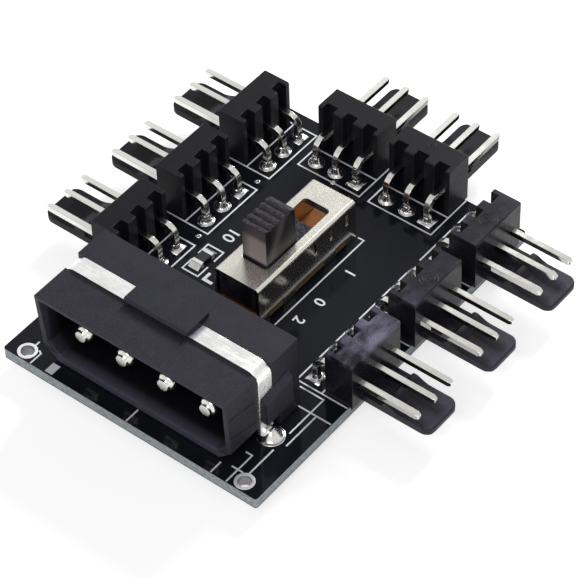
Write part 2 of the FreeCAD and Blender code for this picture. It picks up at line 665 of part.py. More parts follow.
def switch_solder_joints():
    blade = box((-TERMINAL_T / 2, TERMINAL_T / 2), (-TERMINAL_W / 2, TERMINAL_W / 2), (-2 * TOP - UNDER_H, 1))
    joint = faceted([(TERMINAL_HOLE_R, -TOP - UNDER_H), (TERMINAL_PAD_R, -TOP), (TERMINAL_HOLE_R, -TOP),
                     (TERMINAL_HOLE_R, 0)]).cut(blade)
    return Part.makeCompound([placed(joint, Vector(x, y, TOP)) for x, y in terminal_spots()])


def knob_profile():
    """Side view of the knob: a straight stem whose top is a row of saw-tooth ridges."""
    pitch = KNOB_L / KNOB_RIDGES
    points = [(0, SWITCH_TOP - FRAME_T - SLIDER_TOP_GAP)]
    for start in [i * pitch for i in range(KNOB_RIDGES)]:
        points += [(start, KNOB_TOP), (start + pitch * RIDGE_CREST, KNOB_TOP),
                   (start + pitch * RIDGE_FOOT, KNOB_TOP - RIDGE_D)]
    points += [(KNOB_L, KNOB_TOP - RIDGE_D), (KNOB_L, points[0][1])]
    return points


def switch_slider():
    """Knob and the carrier plate under the cover, with a pocket for each moving contact."""
    y0 = FRONT + KNOB_FRONT
    knob = prism([(SWITCH_MID - KNOB_W / 2, y0 + y, z) for y, z in knob_profile()], (KNOB_W, 0, 0))
    carrier = box((SWITCH_MID - SLIDER_W / 2, SWITCH_MID + SLIDER_W / 2),
                  (FRONT + SLIDER_FRONT, FRONT + SLIDER_FRONT + SLIDER_L),
                  (SLIDER_BOTTOM, SWITCH_TOP - FRAME_T - SLIDER_TOP_GAP))
    pockets = []
    for x in clip_rows():
        pockets.append(box((x - CLIP_W / 2 - BASE_GAP, x + CLIP_W / 2 + BASE_GAP),
                           (y0 + KNOB_L / 2 - CLIP_L / 2 - BASE_GAP, y0 + KNOB_L / 2 + CLIP_L / 2 + BASE_GAP),
                           (SLIDER_BOTTOM - 1, CLIP_CREST)))
    return knob.fuse(carrier).cut(pockets).removeSplitter()


def clip_rows():
    return [SWITCH_MID + side * TERMINAL_ROWS / 2 for side in (-1, 1)]


def contact_clip():
    """Springy strip with two dips that press on two neighbouring terminals."""
    low = HEAD_TOP + CLIP_GAP
    high = CLIP_CREST - CLIP_T
    half = CLIP_L / 2
    dip = TERMINAL_PITCH / 2
    under = [(-half, low + CLIP_DIP), (-dip - CLIP_DIP / 2, low), (-dip + CLIP_DIP / 2, low), (-CLIP_DIP, high),
             (CLIP_DIP, high), (dip - CLIP_DIP / 2, low), (dip + CLIP_DIP / 2, low), (half, low + CLIP_DIP)]
    over = [(y, z + CLIP_T) for y, z in reversed(under)]
    return prism([(-CLIP_W / 2, y, z) for y, z in under + over], (CLIP_W, 0, 0))


def chip_resistor():
    """Ceramic body with a wrapped metal cap at each end."""
    half_l, half_w = CHIP_L / 2, CHIP_W / 2
    body = box((-half_w + CHIP_CAP_T, half_w - CHIP_CAP_T), (-half_l + CHIP_CAP_L, half_l - CHIP_CAP_L),
               (CHIP_LIFT + CHIP_CAP_T, CHIP_LIFT + CHIP_T - CHIP_CAP_T))
    caps = [box((-half_w, half_w), (min(a, b), max(a, b)), (CHIP_LIFT, CHIP_LIFT + CHIP_T))
            for a, b in ((-half_l, -half_l + CHIP_CAP_L), (half_l, half_l - CHIP_CAP_L))]
    return placed(body.fuse(caps), Vector(RESISTOR_AT[0], FRONT + RESISTOR_AT[1], TOP))


def chip_led():
    """Chip lamp: flat carrier with a clear tapered lens."""
    half_l, half_w = CHIP_L / 2, CHIP_W / 2
    carrier = box((-half_w, half_w), (-half_l, half_l), (CHIP_LIFT, CHIP_LIFT + CHIP_T / 2))
    lens_z = CHIP_LIFT + CHIP_T / 2
    rings = []
    for z, shrink in ((lens_z, 0), (lens_z + LED_LENS_T, LED_LENS_TAPER)):
        x, y = half_w - shrink, half_l - CHIP_CAP_L - shrink
        rings.append([Vector(-x, -y, z), Vector(x, -y, z), Vector(x, y, z), Vector(-x, y, z)])
    lens = skinned(rings)
    return placed(carrier.fuse(lens).removeSplitter(), Vector(LED_AT[0], FRONT + LED_AT[1], TOP))


def chip_solder_joints():
    """Pad with a solder wedge against each end of both chip parts."""
    joints = []
    half_l, pad_l, half_w = CHIP_L / 2, CHIP_PAD_L / 2, CHIP_PAD_W / 2
    for at, height in ((RESISTOR_AT, RESISTOR_WEDGE_H), (LED_AT, LED_WEDGE_H)):
        for side in (-1, 1):
            outline = [(side * (half_l - CHIP_CAP_L), 0), (side * pad_l, 0), (side * pad_l, CHIP_LIFT),
                       (side * half_l, CHIP_LIFT + height), (side * half_l, CHIP_LIFT),
                       (side * (half_l - CHIP_CAP_L), CHIP_LIFT)]
            wedge = prism([(-half_w, y, z) for y, z in outline], (2 * half_w, 0, 0))
            joints.append(placed(wedge, Vector(at[0], FRONT + at[1], TOP)))
    return Part.makeCompound(joints)


def raised(shape):
    """Copy of a shape drawn from the board's upper face, put in its place."""
    return placed(shape, Vector(0, 0, TOP))


def build_parts():
    parts = {
        "circuit_board": circuit_board(),
        "corner_hole_plating": corner_hole_plating(),
        "header_solder_joints": header_solder_joints(),
        "power_socket_housing": raised(power_socket_housing()),
        "power_socket_strap": raised(power_socket_strap()),
        "power_solder_joints": power_solder_joints(),
        "switch_frame": raised(switch_frame()),
        "switch_base": raised(switch_base()),
        "switch_slider": raised(switch_slider()),
        "switch_solder_joints": switch_solder_joints(),
        "chip_resistor": chip_resistor(),
        "chip_led": chip_led(),
        "chip_solder_joints": chip_solder_joints(),
    }
    housing, pin = header_housing(), header_pin()
    spots = header_pin_spots()
    for header, (name, at, turn) in enumerate(header_places()):
        parts[name + "_housing"] = placed(housing, at, turn)
        for i, (spot, pin_turn) in enumerate(spots[header * HEADER_PINS:(header + 1) * HEADER_PINS]):
            parts["%s_pin_%d" % (name, i + 1)] = placed(pin, spot, pin_turn)
    barrel = power_pin()
    for i, x in enumerate(power_pin_xs()):
        parts["power_pin_%d" % (i + 1)] = placed(barrel, Vector(x, 0, TOP))
    terminal = switch_terminal()
    for i, (x, y) in enumerate(terminal_spots()):
        parts["switch_terminal_%d" % (i + 1)] = placed(terminal, Vector(x, y, TOP))
    clip = contact_clip()
    for i, x in enumerate(clip_rows()):
        parts["switch_contact_clip_%d" % (i + 1)] = placed(clip, Vector(x, FRONT + KNOB_FRONT + KNOB_L / 2, TOP))
    return parts


os.makedirs("parts", exist_ok=True)
for node, shape in build_parts().items():
    if not shape.isValid():
        raise ValueError("invalid solid: " + node)
    shape.exportStep("parts/%s.step" % node)
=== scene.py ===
import math
import random

import bmesh
import bpy
from bpy.props import FloatProperty, FloatVectorProperty, IntProperty, PointerProperty
from mathutils import Matrix, Vector


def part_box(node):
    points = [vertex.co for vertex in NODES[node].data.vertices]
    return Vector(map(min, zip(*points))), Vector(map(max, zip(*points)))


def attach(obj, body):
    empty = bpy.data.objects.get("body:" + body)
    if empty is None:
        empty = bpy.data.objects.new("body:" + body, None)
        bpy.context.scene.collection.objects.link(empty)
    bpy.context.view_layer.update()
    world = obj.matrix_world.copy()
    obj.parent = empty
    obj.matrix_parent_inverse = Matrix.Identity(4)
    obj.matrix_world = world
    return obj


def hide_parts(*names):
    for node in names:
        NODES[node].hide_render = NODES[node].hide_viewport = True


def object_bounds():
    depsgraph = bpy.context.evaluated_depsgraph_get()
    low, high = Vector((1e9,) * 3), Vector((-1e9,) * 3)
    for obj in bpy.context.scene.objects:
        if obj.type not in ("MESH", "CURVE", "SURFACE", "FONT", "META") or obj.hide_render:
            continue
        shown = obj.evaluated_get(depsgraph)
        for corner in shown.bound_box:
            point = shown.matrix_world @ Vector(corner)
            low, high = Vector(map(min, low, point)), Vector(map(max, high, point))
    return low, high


bl_info = {
    "name": "Fan Controller Hub",
    "version": (1, 0, 0),
    "blender": (4, 5, 0),
    "location": "View3D > Sidebar > Fan Hub",
    "description": "Dresses a fan controller hub in solder, print, moulded nylon and plated metal",
    "category": "Object",
}

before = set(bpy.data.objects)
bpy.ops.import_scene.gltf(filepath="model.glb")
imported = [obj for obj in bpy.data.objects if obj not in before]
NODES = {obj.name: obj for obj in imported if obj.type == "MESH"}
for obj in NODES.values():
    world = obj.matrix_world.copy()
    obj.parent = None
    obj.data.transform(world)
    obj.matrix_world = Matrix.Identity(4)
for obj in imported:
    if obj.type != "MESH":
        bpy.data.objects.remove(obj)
CAD_BOX = [list(corner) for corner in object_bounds()]

MM = 0.001
WELD = 2e-7
BOARD = "board"
SLIDER = "slider"
BOARD_LOW, BOARD_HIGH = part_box("circuit_board")
TOP = BOARD_HIGH.z

# Fan headers, the turn in degrees that takes +X off the board on each side, and their pins
HEADERS = (
    ["fan_header_left_%d" % i for i in (1, 2, 3)]
    + ["fan_header_back_%d" % i for i in (1, 2)]
    + ["fan_header_right_%d" % i for i in (1, 2, 3)]
)
OUTWARD = {"left": 180, "back": 90, "right": 0}
PIN_BEND = 1.0 * MM
PIN_TIP = 0.38 * MM
PIN_TIP_WIDTH = 0.4 * MM

# Power socket: outer faces, inside of the mouth, round pins with their tails, and strap. The nose is a
# line of (radius, distance from the tip) in millimetres for a pin as thick as ROUND_RADIUS says
SOCKET_TOP = TOP + 8.9 * MM
SOCKET_SIDE = 11.6 * MM
MOUTH_HALF = 10.9 * MM
MOUTH_FRONT = 0.8 * MM
MOUTH_BACK = 7.7 * MM
MOUTH_FLOOR = TOP + 1.25 * MM
MOUTH_ROOF = TOP + 8.1 * MM
ROUND_NOSE = [(0, 0), (0.59, 0), (0.63, 0.04), (0.64, 0.3), (0.7, 0.34), (0.84, 0.42), (0.96, 0.62),
              (1.02, 0.85), (1.05, 1.1)]
ROUND_RADIUS = ROUND_NOSE[-1][0]
ROUND_LENGTH = 5.9 * MM
TAIL_WIDTH = 1.1 * MM
TAIL_BEND = 0.7 * MM
TAIL_TIP = 0.1 * MM
STRAP_THICK = 0.3 * MM
STRAP_BEND = 1.25 * MM
STRAP_LEG = 1.1 * MM
STRAP_NECK = TOP + 0.35 * MM
STRAP_SHOULDER = TOP + 0.95 * MM

# Switch knob: its front face, its top and the level of the cover that it stands out of
KNOB_REACH = 2.3 * MM
KNOB_FRONT = (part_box("switch_contact_clip_1")[0].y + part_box("switch_contact_clip_1")[1].y) / 2 - KNOB_REACH
KNOB_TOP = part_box("switch_slider")[1].z
KNOB_FOOT = KNOB_TOP - 4.4 * MM


# Small makers shared by the pieces

def off_board(header):
    """Turn that takes the local +X axis off the board at a fan header."""
    return Matrix.Rotation(math.radians(OUTWARD[header.split("_")[2]]), 4, "Z")


def pin_foot(header, number):
    """Middle of a fan header pin's leg, on the board's upper face."""
    low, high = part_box("%s_pin_%d" % (header, number))
    out = off_board(header) @ Vector((1, 0, 0))
    width = min(high.x - low.x, high.y - low.y)
    foot = (low + high) / 2 - out * (abs((high - low).dot(out)) - width) / 2
    return Vector((foot.x, foot.y, TOP))


def mesh_object(name, bm, material, smooth=True):
    """New object at the origin from a bmesh, with its normals turned outwards."""
    bmesh.ops.remove_doubles(bm, verts=bm.verts, dist=WELD)
    bmesh.ops.recalc_face_normals(bm, faces=bm.faces)
    mesh = bpy.data.meshes.new(name)
    for face in bm.faces:
        face.smooth = smooth
    bm.to_mesh(mesh)
    bm.free()
    mesh.materials.append(material)
    piece = bpy.data.objects.new(name, mesh)
    bpy.context.scene.collection.objects.link(piece)
    return piece


def soften(piece, width, angle=32, even=True):
    """Rounded edges, with the shading of large faces kept level where that suits the piece."""
    bevel = piece.modifiers.new("edges", "BEVEL")
    bevel.width = width
    bevel.segments = 2
    bevel.limit_method = "ANGLE"
    bevel.angle_limit = math.radians(angle)
    bevel.harden_normals = not even
    if even:
        piece.modifiers.new("even shading", "WEIGHTED_NORMAL")


def settle(piece, body=BOARD, replaces=None):
    """Put a piece on its body and the node that it stands for."""
    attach(piece, body)
    if replaces:
        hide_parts(replaces)


def moulded(node, name, material, width, body=BOARD):
    """Edge-rounded copy of a CAD node, which it stands for."""
    bm = bmesh.new()
    bm.from_mesh(NODES[node].data)
    bmesh.ops.remove_doubles(bm, verts=bm.verts, dist=WELD)
    bmesh.ops.dissolve_limit(bm, angle_limit=math.radians(0.4), verts=bm.verts, edges=bm.edges)
    piece = mesh_object(name, bm, material)
    soften(piece, width)
    settle(piece, body, node)


def dress(node, material):
    """Material of a CAD node that is shown as it is."""
    NODES[node].data.materials.clear()
    NODES[node].data.materials.append(material)


def in_metres(points):
    """Points that are given in millimetres."""
    return [tuple(c * MM for c in point) for point in points]


def bar(bm, start, end, width, low, high):
    """Straight raised line between two points of the board, half a width longer at both ends."""
    a, b = Vector(start), Vector(end)
    along, middle = b - a, (a + b) / 2
    turn = Matrix.Rotation(math.atan2(along.y, along.x), 3, "Z")
    verts = bmesh.ops.create_cube(bm, size=1)["verts"]
    bmesh.ops.scale(bm, vec=(along.length + width, width, high - low), verts=verts)
    bmesh.ops.rotate(bm, cent=(0, 0, 0), matrix=turn, verts=verts)
    bmesh.ops.translate(bm, vec=(middle.x, middle.y, (low + high) / 2), verts=verts)


def draw_out(bm, face, along, grow=(1, 1, 1)):
    """Push a face out and scale it about its own middle; gives the new face."""
    made = bmesh.ops.extrude_face_region(bm, geom=[face])
    end = next(part for part in made["geom"] if isinstance(part, bmesh.types.BMFace))
    bmesh.ops.translate(bm, vec=along, verts=end.verts)
    bmesh.ops.scale(bm, vec=grow, space=Matrix.Translation(-end.calc_center_median()), verts=end.verts)
    return end


def bend(bm, face, centre, axis, degrees, steps):
    """Sweep a face round an axis; gives the face at the far end."""
    made = bmesh.ops.spin(bm, geom=[face, *face.edges, *face.verts], cent=centre, axis=axis, dvec=(0, 0, 0),
                          angle=math.radians(degrees), steps=steps)
    return next(part for part in made["geom_last"] if isinstance(part, bmesh.types.BMFace))


def blank(bm, half_x, half_y, middle):
    """Level rectangle that a bar or strip is drawn from."""
    made = bmesh.ops.create_grid(bm, x_segments=1, y_segments=1, size=1)
    bmesh.ops.scale(bm, vec=(half_x, half_y, 1), verts=made["verts"])
    bmesh.ops.translate(bm, vec=middle, verts=made["verts"])
    return made["verts"][0].link_faces[0]


def lathe(bm, centre, profile, steps=40, along=(0, 0, 1)):
    """Turn a line of (radius, distance along the axis) points into a skin."""
    axis = Vector(along)
    verts = [bm.verts.new(centre + Vector((r, 0, 0)) + axis * d) for r, d in profile]
    edges = [bm.edges.new(pair) for pair in zip(verts, verts[1:])]
    bmesh.ops.spin(bm, geom=verts + edges, cent=centre, axis=axis, dvec=(0, 0, 0), angle=2 * math.pi,
                   steps=steps, use_merge=True)


def square_wire(bm, width, reach, level, bottom, radius, tip_length, tip_width):
    """Square wire with blunt ends: up from the bottom, round a bend and out along +X."""
    thick, thin = width / tip_width, tip_width / width
    face = blank(bm, tip_width / 2, tip_width / 2, (0, 0, bottom))
    face = draw_out(bm, face, (0, 0, tip_length), (thick, thick, 1))
    face = draw_out(bm, face, (0, 0, level - radius - bottom - tip_length))
    face = bend(bm, face, (radius, 0, level - radius), (0, 1, 0), 90, 8)
    face = draw_out(bm, face, (reach - radius - tip_length, 0, 0))
    draw_out(bm, face, (tip_length, 0, 0), (1, thin, thin))


def add_node(tree, kind, inputs=None, **settings):
    """Shader node with its settings and inputs, which may be values or other nodes' outputs."""
    made = tree.nodes.new(kind)
    for key, value in settings.items():
        setattr(made, key, value)
    for key, value in (inputs or {}).items():
        if isinstance(value, bpy.types.NodeSocket):
            tree.links.new(value, made.inputs[key])
        else:
            made.inputs[key].default_value = value
    return made


def toned(colour, share):
    """Colour made darker or lighter."""
    return tuple(share * c for c in colour)


class Finish:
    """A material being put together: its tree, its shader and the object's own coordinates."""

    def __init__(self, name, colour, roughness, metallic=0.0, specular=0.5):
        self.material = bpy.data.materials.new(name)
        self.material.use_nodes = True
        self.tree = self.material.node_tree
        self.shader = self.tree.nodes["Principled BSDF"]
        for key, value in (("Base Color", (*colour, 1)), ("Roughness", roughness), ("Metallic", metallic),
                           ("Specular IOR Level", specular)):
            self.shader.inputs[key].default_value = value
        self.place = self.tree.nodes.new("ShaderNodeTexCoord").outputs["Object"]

    def stretched(self, x, y, z):
        made = add_node(self.tree, "ShaderNodeMapping", {"Vector": self.place, "Scale": (x, y, z)})
        return made.outputs["Vector"]

    def grain(self, per_mm, detail=3.0, rough=0.55, vector=None):
        made = add_node(self.tree, "ShaderNodeTexNoise", {
            "Vector": vector or self.place, "Scale": per_mm / MM, "Detail": detail, "Roughness": rough})
        return made.outputs["Fac"]

    def ramp(self, factor, low, high, dark=(0, 0, 0), light=(1, 1, 1)):
        made = add_node(self.tree, "ShaderNodeValToRGB", {"Fac": factor})
        band = made.color_ramp.elements
        band[0].position, band[1].position = low, high
        band[0].color, band[1].color = (*dark, 1), (*light, 1)
        return made.outputs["Color"]

    def shades(self, factor, colour, dark, light=1.0, low=0.3, high=0.7):
        """Ramp from a darker to a lighter share of one colour."""
        return self.ramp(factor, low, high, toned(colour, dark), toned(colour, light))

    def mix(self, factor, *colours):
        """One colour where the factor is 0, another where it is 1."""
        a, b = [c if isinstance(c, bpy.types.NodeSocket) else (*c, 1) for c in colours]
        return add_node(self.tree, "ShaderNodeMix", {0: factor, 6: a, 7: b}, data_type="RGBA").outputs[2]

    def math(self, operation, a, b=0.0, c=0.0):
        return add_node(self.tree, "ShaderNodeMath", {0: a, 1: b, 2: c}, operation=operation).outputs[0]

    def both(self, *masks):
        """1 where all masks are."""
        made = masks[0]
        for mask in masks[1:]:
            made = self.math("MULTIPLY", made, mask)
        return made

    def range(self, value, low, high, to_low=0.0, to_high=1.0):
        made = add_node(self.tree, "ShaderNodeMapRange", {
            "Value": value, "From Min": low, "From Max": high, "To Min": to_low, "To Max": to_high})
        return made.outputs["Result"]

    def blend(self, mask, off, on):
        """One value where the mask is 0, another where it is 1."""
        return self.range(mask, 0.0, 1.0, off, on)

    def relief(self, height, depth_mm, strength=1.0, normal=None):
        inputs = {"Height": height, "Distance": depth_mm * MM, "Strength": strength}
        if normal:
            inputs["Normal"] = normal
        return add_node(self.tree, "ShaderNodeBump", inputs).outputs["Normal"]

    def set(self, **sockets):
        for key, value in sockets.items():
            self.tree.links.new(value, self.shader.inputs[key.replace("_", " ")])

    def facing(self, name, sign=0):
        """1 on faces square to an axis and 0 on others; a sign picks one of the two sides."""
        normal = self.tree.nodes.new("ShaderNodeNewGeometry").outputs["Normal"]
        part = self.parts(normal)[name]
        part = self.math("MULTIPLY", part, float(sign)) if sign else self.math("ABSOLUTE", part)
        return self.range(part, 0.4, 0.6)

    def edges(self):
        """1 on chamfers and rounded edges, 0 on faces square to an axis."""
        normal = self.tree.nodes.new("ShaderNodeNewGeometry").outputs["True Normal"]
        parts = self.parts(normal)
        most = self.math("ABSOLUTE", parts["Z"])
        for name in "XY":
            most = self.math("MAXIMUM", most, self.math("ABSOLUTE", parts[name]))
        return self.range(most, 0.93, 0.97, 1.0, 0.0)

    def parts(self, vector):
        return add_node(self.tree, "ShaderNodeSeparateXYZ", {"Vector": vector}).outputs

    def axis(self, name):
        return self.parts(self.place)[name]


# Finishes

def board_finish(look):
    """Glossy mask on the faces, cut glass fibre at the edges."""
    f = Finish("board mask and edge", look.mask_colour, 0.1, specular=0.14)
    cloud = f.ramp(f.grain(0.25, 2), 0.3, 0.7, (0.85, 0.85, 0.85), (1.15, 1.15, 1.15))
    mask = add_node(f.tree, "ShaderNodeVectorMath", {0: cloud, 1: tuple(look.mask_colour)},
                    operation="MULTIPLY")
    fibre = f.shades(f.grain(2.0, 5, 0.8, f.stretched(1.0, 1.0, 2.5)), look.fibre_colour, 0.4, 1.15)
    height = f.axis("Z")
    low_skin = f.range(height, BOARD_LOW.z + 0.09 * MM, BOARD_LOW.z + 0.12 * MM, 1.0, 0.0)
    high_skin = f.range(height, TOP - 0.05 * MM, TOP - 0.03 * MM)
    edge = f.mix(f.math("MAXIMUM", low_skin, high_skin), fibre, (0.02, 0.02, 0.022))
    level = f.facing("Z")
    f.set(Base_Color=f.mix(level, edge, mask.outputs[0]), Roughness=f.blend(level, 0.75, 0.09),
          Normal=f.relief(f.grain(0.5, 2), 0.006, 0.4))
    return f.material


def print_finish(look):
    """White board print, a little thin in places."""
    f = Finish("board print", look.print_colour, 0.6, specular=0.2)
    f.set(Base_Color=f.shades(f.grain(4.0, 4), look.print_colour, 0.8, low=0.2, high=0.5),
          Normal=f.relief(f.grain(9.0), 0.006))
    return f.material


def solder_finish(look):
    """Bright solder that has run smooth, with soft waves and small dull spots."""
    f = Finish("bright solder", look.solder_colour, 0.14, 1.0)
    f.set(Base_Color=f.shades(f.grain(1.8, 4), look.solder_colour, 0.7),
          Roughness=f.range(f.grain(2.2, 3), 0.35, 0.75, 0.14, 0.3),
          Normal=f.relief(f.grain(0.8, 1), 0.012, 0.3))
    return f.material


def plated_finish(look):
    """Matt tin of the corner holes: pale rings and darker bores."""
    f = Finish("matt plating", (0.94, 0.93, 0.95), 0.35, 0.35)
    bore = f.ramp(f.grain(1.5, 3), 0.3, 0.7, (0.3, 0.29, 0.33), (0.5, 0.48, 0.54))
    f.set(Base_Color=f.mix(f.facing("Z"), bore, (0.98, 0.97, 0.98)))
    return f.material


def wire_finish(look, name, along):
    """Tinned wire with draw lines along it."""
    f = Finish(name, look.tin_colour, 0.22, 1.0)
    lines = f.grain(5.0, 3, 0.6, f.stretched(*along))
    f.set(Base_Color=f.shades(lines, look.tin_colour, 0.88),
          Roughness=f.range(f.grain(1.5, 3), 0.3, 0.7, 0.13, 0.19), Normal=f.relief(lines, 0.001, 0.2))
    return f.material


def strap_finish(look):
    """Dipped tin strap: streaks across the socket, dull patches, waves and a painted violet shadow beside the
    bridge.
    """
    f = Finish("tinned strap", look.strap_colour, 0.25, 1.0)
    streaks = f.grain(1.6, 4, 0.65, f.stretched(0.14, 1.6, 1.6))
    patches = f.grain(1.1, 5, 0.7, f.stretched(0.4, 1.0, 1.0))
    bright = f.shades(streaks, look.strap_colour, 0.84, low=0.25, high=0.6)
    tone = f.mix(f.ramp(patches, 0.6, 0.68), bright, toned(look.strap_colour, 0.7))
    # Painted shadow: a dark violet band on the strap beside the socket's bridge.
    bridge_shadow = f.both(f.range(f.axis("X"), 3.9 * MM, 4.3 * MM, 1.0, 0.0), f.range(f.axis("X"), 0.0, 0.1 * MM))
    waves = f.relief(f.grain(0.4, 2), 0.08, 0.35, f.relief(streaks, 0.04, 0.45))
    f.set(Base_Color=f.mix(bridge_shadow, tone, (0.34, 0.32, 0.4)), Roughness=f.range(patches, 0.3, 0.75, 0.16, 0.4),
          Normal=waves)
    return f.material


def nickel_finish(look):
    """Nickelled sheet: a fine pressed sparkle on the level top; smooth bright bends and walls, darkened a
    little by painted shade.
    """
    f = Finish("nickelled sheet", look.nickel_colour, 0.3, 1.0)
    colour = tuple(look.nickel_colour)
    level = f.facing("Z")
    sparkle = f.grain(6.5, 2, 0.6)
    tone = f.mix(f.ramp(f.grain(0.35, 3), 0.35, 0.7), toned(colour, 0.88), colour)
    # Painted shade: bends and walls darker than the level top.
    tone = f.mix(level, f.mix(0.3, tone, (0.2, 0.17, 0.12)), tone)
    rough = f.blend(level, 0.18, f.range(sparkle, 0.3, 0.7, 0.2, 0.34))
    grit = f.relief(sparkle, 0.012, f.blend(level, 0.0, 0.5))
    f.set(Base_Color=tone, Roughness=rough, Normal=f.relief(f.grain(0.3, 1), 0.03, 0.2, grit))
    return f.material


def nylon_finish(name, colour, roughness, specular, grain_depth, speck, edge_wear_and_sheen, shade):
    """Moulded nylon: fine eroded grain, faint clouding, pale specks, worn edges that also carry a painted
    highlight, and painted light and shade by place.
    """
    colour = tuple(colour)
    f = Finish(name, colour, roughness, specular=specular)
    cloud = f.shades(f.grain(0.5, 3), colour, 0.85, 1.15)
    tone = f.mix(f.ramp(f.grain(6.0, 1), 0.64, 0.7), cloud, tuple(min(1.0, speck * c) for c in colour))
    # Pale rounded edges: partly wear, partly a painted highlight along the edges.
    worn_and_lit_edges = f.both(f.edges(), f.range(f.grain(1.4, 3), 0.3, 0.6, 0.4, 1.0))
    # The shade function paints light or shade by place.
    tone = shade(f, f.mix(worn_and_lit_edges, tone, toned(colour, edge_wear_and_sheen)), colour)
    rough = f.range(f.grain(2.5, 3), 0.3, 0.7, roughness - 0.06, roughness + 0.07)
    f.set(Base_Color=tone, Roughness=rough, Normal=f.relief(f.grain(6.0, 3), grain_depth, 0.6))
    return f.material


def lit_sides(f, tone, colour):
    """Painted light and reflection: paler faces towards the front and the right."""
    lit = f.math("MULTIPLY_ADD", f.facing("X", 1), 0.35, f.math("MULTIPLY", f.facing("Y", -1), 0.15))
    # The paler tone on these faces is painted light.
    return f.mix(lit, tone, toned(colour, 4.0))


def mouth_shade(f, tone, colour):
    """Painted shade on faces deep in the power socket's mouth and painted light on its sill."""
    y, z = f.axis("Y"), f.axis("Z")
    aside = f.math("ABSOLUTE", f.axis("X"))
    # deep: where painted shade darkens the inner faces of the mouth.
    deep = f.both(f.range(aside, MOUTH_HALF - 0.05 * MM, MOUTH_HALF + 0.05 * MM, 1.0, 0.0),
                  f.range(y, MOUTH_FRONT, MOUTH_FRONT + 1.6 * MM),
                  f.range(y, MOUTH_BACK - 0.1 * MM, MOUTH_BACK + 0.05 * MM, 1.0, 0.0),
                  f.range(z, MOUTH_FLOOR - 0.05 * MM, MOUTH_FLOOR - 0.01 * MM),
                  f.range(z, MOUTH_ROOF - 0.1 * MM, MOUTH_ROOF + 0.05 * MM, 1.0, 0.0))
    # sill: where painted light makes the low faces by the mouth's front paler.
    sill = f.both(f.math("MAXIMUM", f.facing("Z", 1), f.facing("Y", -1)),
                  f.range(z, MOUTH_FLOOR + 0.05 * MM, MOUTH_FLOOR + 0.15 * MM, 1.0, 0.0),
                  f.range(y, MOUTH_FRONT, MOUTH_FRONT + 1.2 * MM, 1.0, 0.0))
    return f.mix(sill, f.mix(deep, tone, toned(colour, 0.2)), toned(colour, 3.0))


def smoky_finish(look):
    """Right-hand headers: smooth nylon, a painted violet sheen on top of the nearest one, paler ends of the
    tongues.
    """
    f = Finish("smoky nylon", look.smoky_colour, 0.3, specular=0.18)
    colour = tuple(look.smoky_colour)
    # Painted sheen: violet patches on the tops, strongest on the nearest header.
    sheen = f.ramp(f.grain(0.4, 4, 0.6, f.stretched(1.0, 0.6, 1.0)), 0.42, 0.62)
    near = f.range(f.axis("Y"), 18 * MM, 25 * MM, 1.0, 0.12)
    top = f.range(f.axis("Z"), TOP + 5.2 * MM, TOP + 5.7 * MM)
    upper = f.mix(f.both(sheen, near, top), toned(colour, 0.75), tuple(look.sheen_colour))
    end = f.range(f.axis("X"), BOARD_HIGH.x + 5.0 * MM, BOARD_HIGH.x + 7.0 * MM)
    mottle = f.range(f.grain(2.2, 4, 0.65), 0.35, 0.65, 0.6, 1.0)
    tone = f.mix(f.both(end, mottle), upper, toned(colour, 2.4))
    rough = f.blend(end, f.range(f.grain(1.2, 3), 0.3, 0.7, 0.22, 0.32), 0.42)
    f.set(Base_Color=tone, Roughness=rough, Normal=f.relief(f.grain(2.5, 2), 0.008, 0.35))
    return f.material


def knob_finish(look):
    """Moulded grip: ragged ridges with painted light on their tops and painted shade in their hollows, a
    painted highlight on the middle of the front and one painted highlight streak on the right side.
    """
    f = Finish("knob nylon", look.knob_colour, 0.4, specular=0.3)
    red, green, blue = colour = tuple(look.knob_colour)
    ridge = f.facing("Z")
    slope = f.math("MULTIPLY_ADD", f.axis("Z"), -0.5, f.axis("Y"))
    off_streak = f.math("ABSOLUTE", f.math("SUBTRACT", slope, KNOB_FRONT + 0.6 * MM - 0.5 * KNOB_FOOT))
    # right: a painted highlight streak across the right face.
    right = f.both(f.facing("X", 1), f.range(off_streak, 0.0, 1.0 * MM, 0.36, 0.0))
    # front: a painted highlight on the front face.
    front = f.both(f.facing("Y", -1), f.range(f.axis("X"), -1.5 * MM, -0.5 * MM, 0.3, 1.0),
                   f.range(f.axis("Z"), KNOB_TOP - 1.7 * MM, KNOB_TOP - 1.1 * MM, 1.0, 0.25))
    grip = f.range(f.axis("Z"), KNOB_FOOT - 0.1 * MM, KNOB_FOOT + 0.2 * MM)
    sides = f.shades(f.grain(0.5, 3, 0.6, f.stretched(1.0, 1.0, 0.6)), colour, 0.25, 1.3, 0.4, 0.62)
    # The rose colour is the painted highlight on the front and right faces.
    tone = f.mix(f.both(f.math("ADD", front, right), grip), sides, (12.6 * red, 11.0 * green, 8.6 * blue))
    torn = f.grain(2.4, 4, 0.7)
    # Painted light on the high parts of the ridges and painted shade in their hollows.
    ridge_light_and_shade = f.ramp(torn, 0.42, 0.6, toned(colour, 0.1), (2.0 * red, 2.0 * green, 2.3 * blue))
    f.set(Base_Color=f.mix(ridge, tone, ridge_light_and_shade), Roughness=f.blend(ridge, 0.28, 0.55),
          Normal=f.relief(torn, 0.4, f.blend(ridge, 0.01, 1.0)))
    return f.material


def mould_line_finish(look):
    """Raised parting line of the socket's mould, paler than the housing in random patches."""
    f = Finish("mould line", look.socket_colour, 0.5, specular=0.2)
    f.set(Base_Color=f.shades(f.grain(1.2, 3), look.socket_colour, 1.0, 2.0))
    return f.material


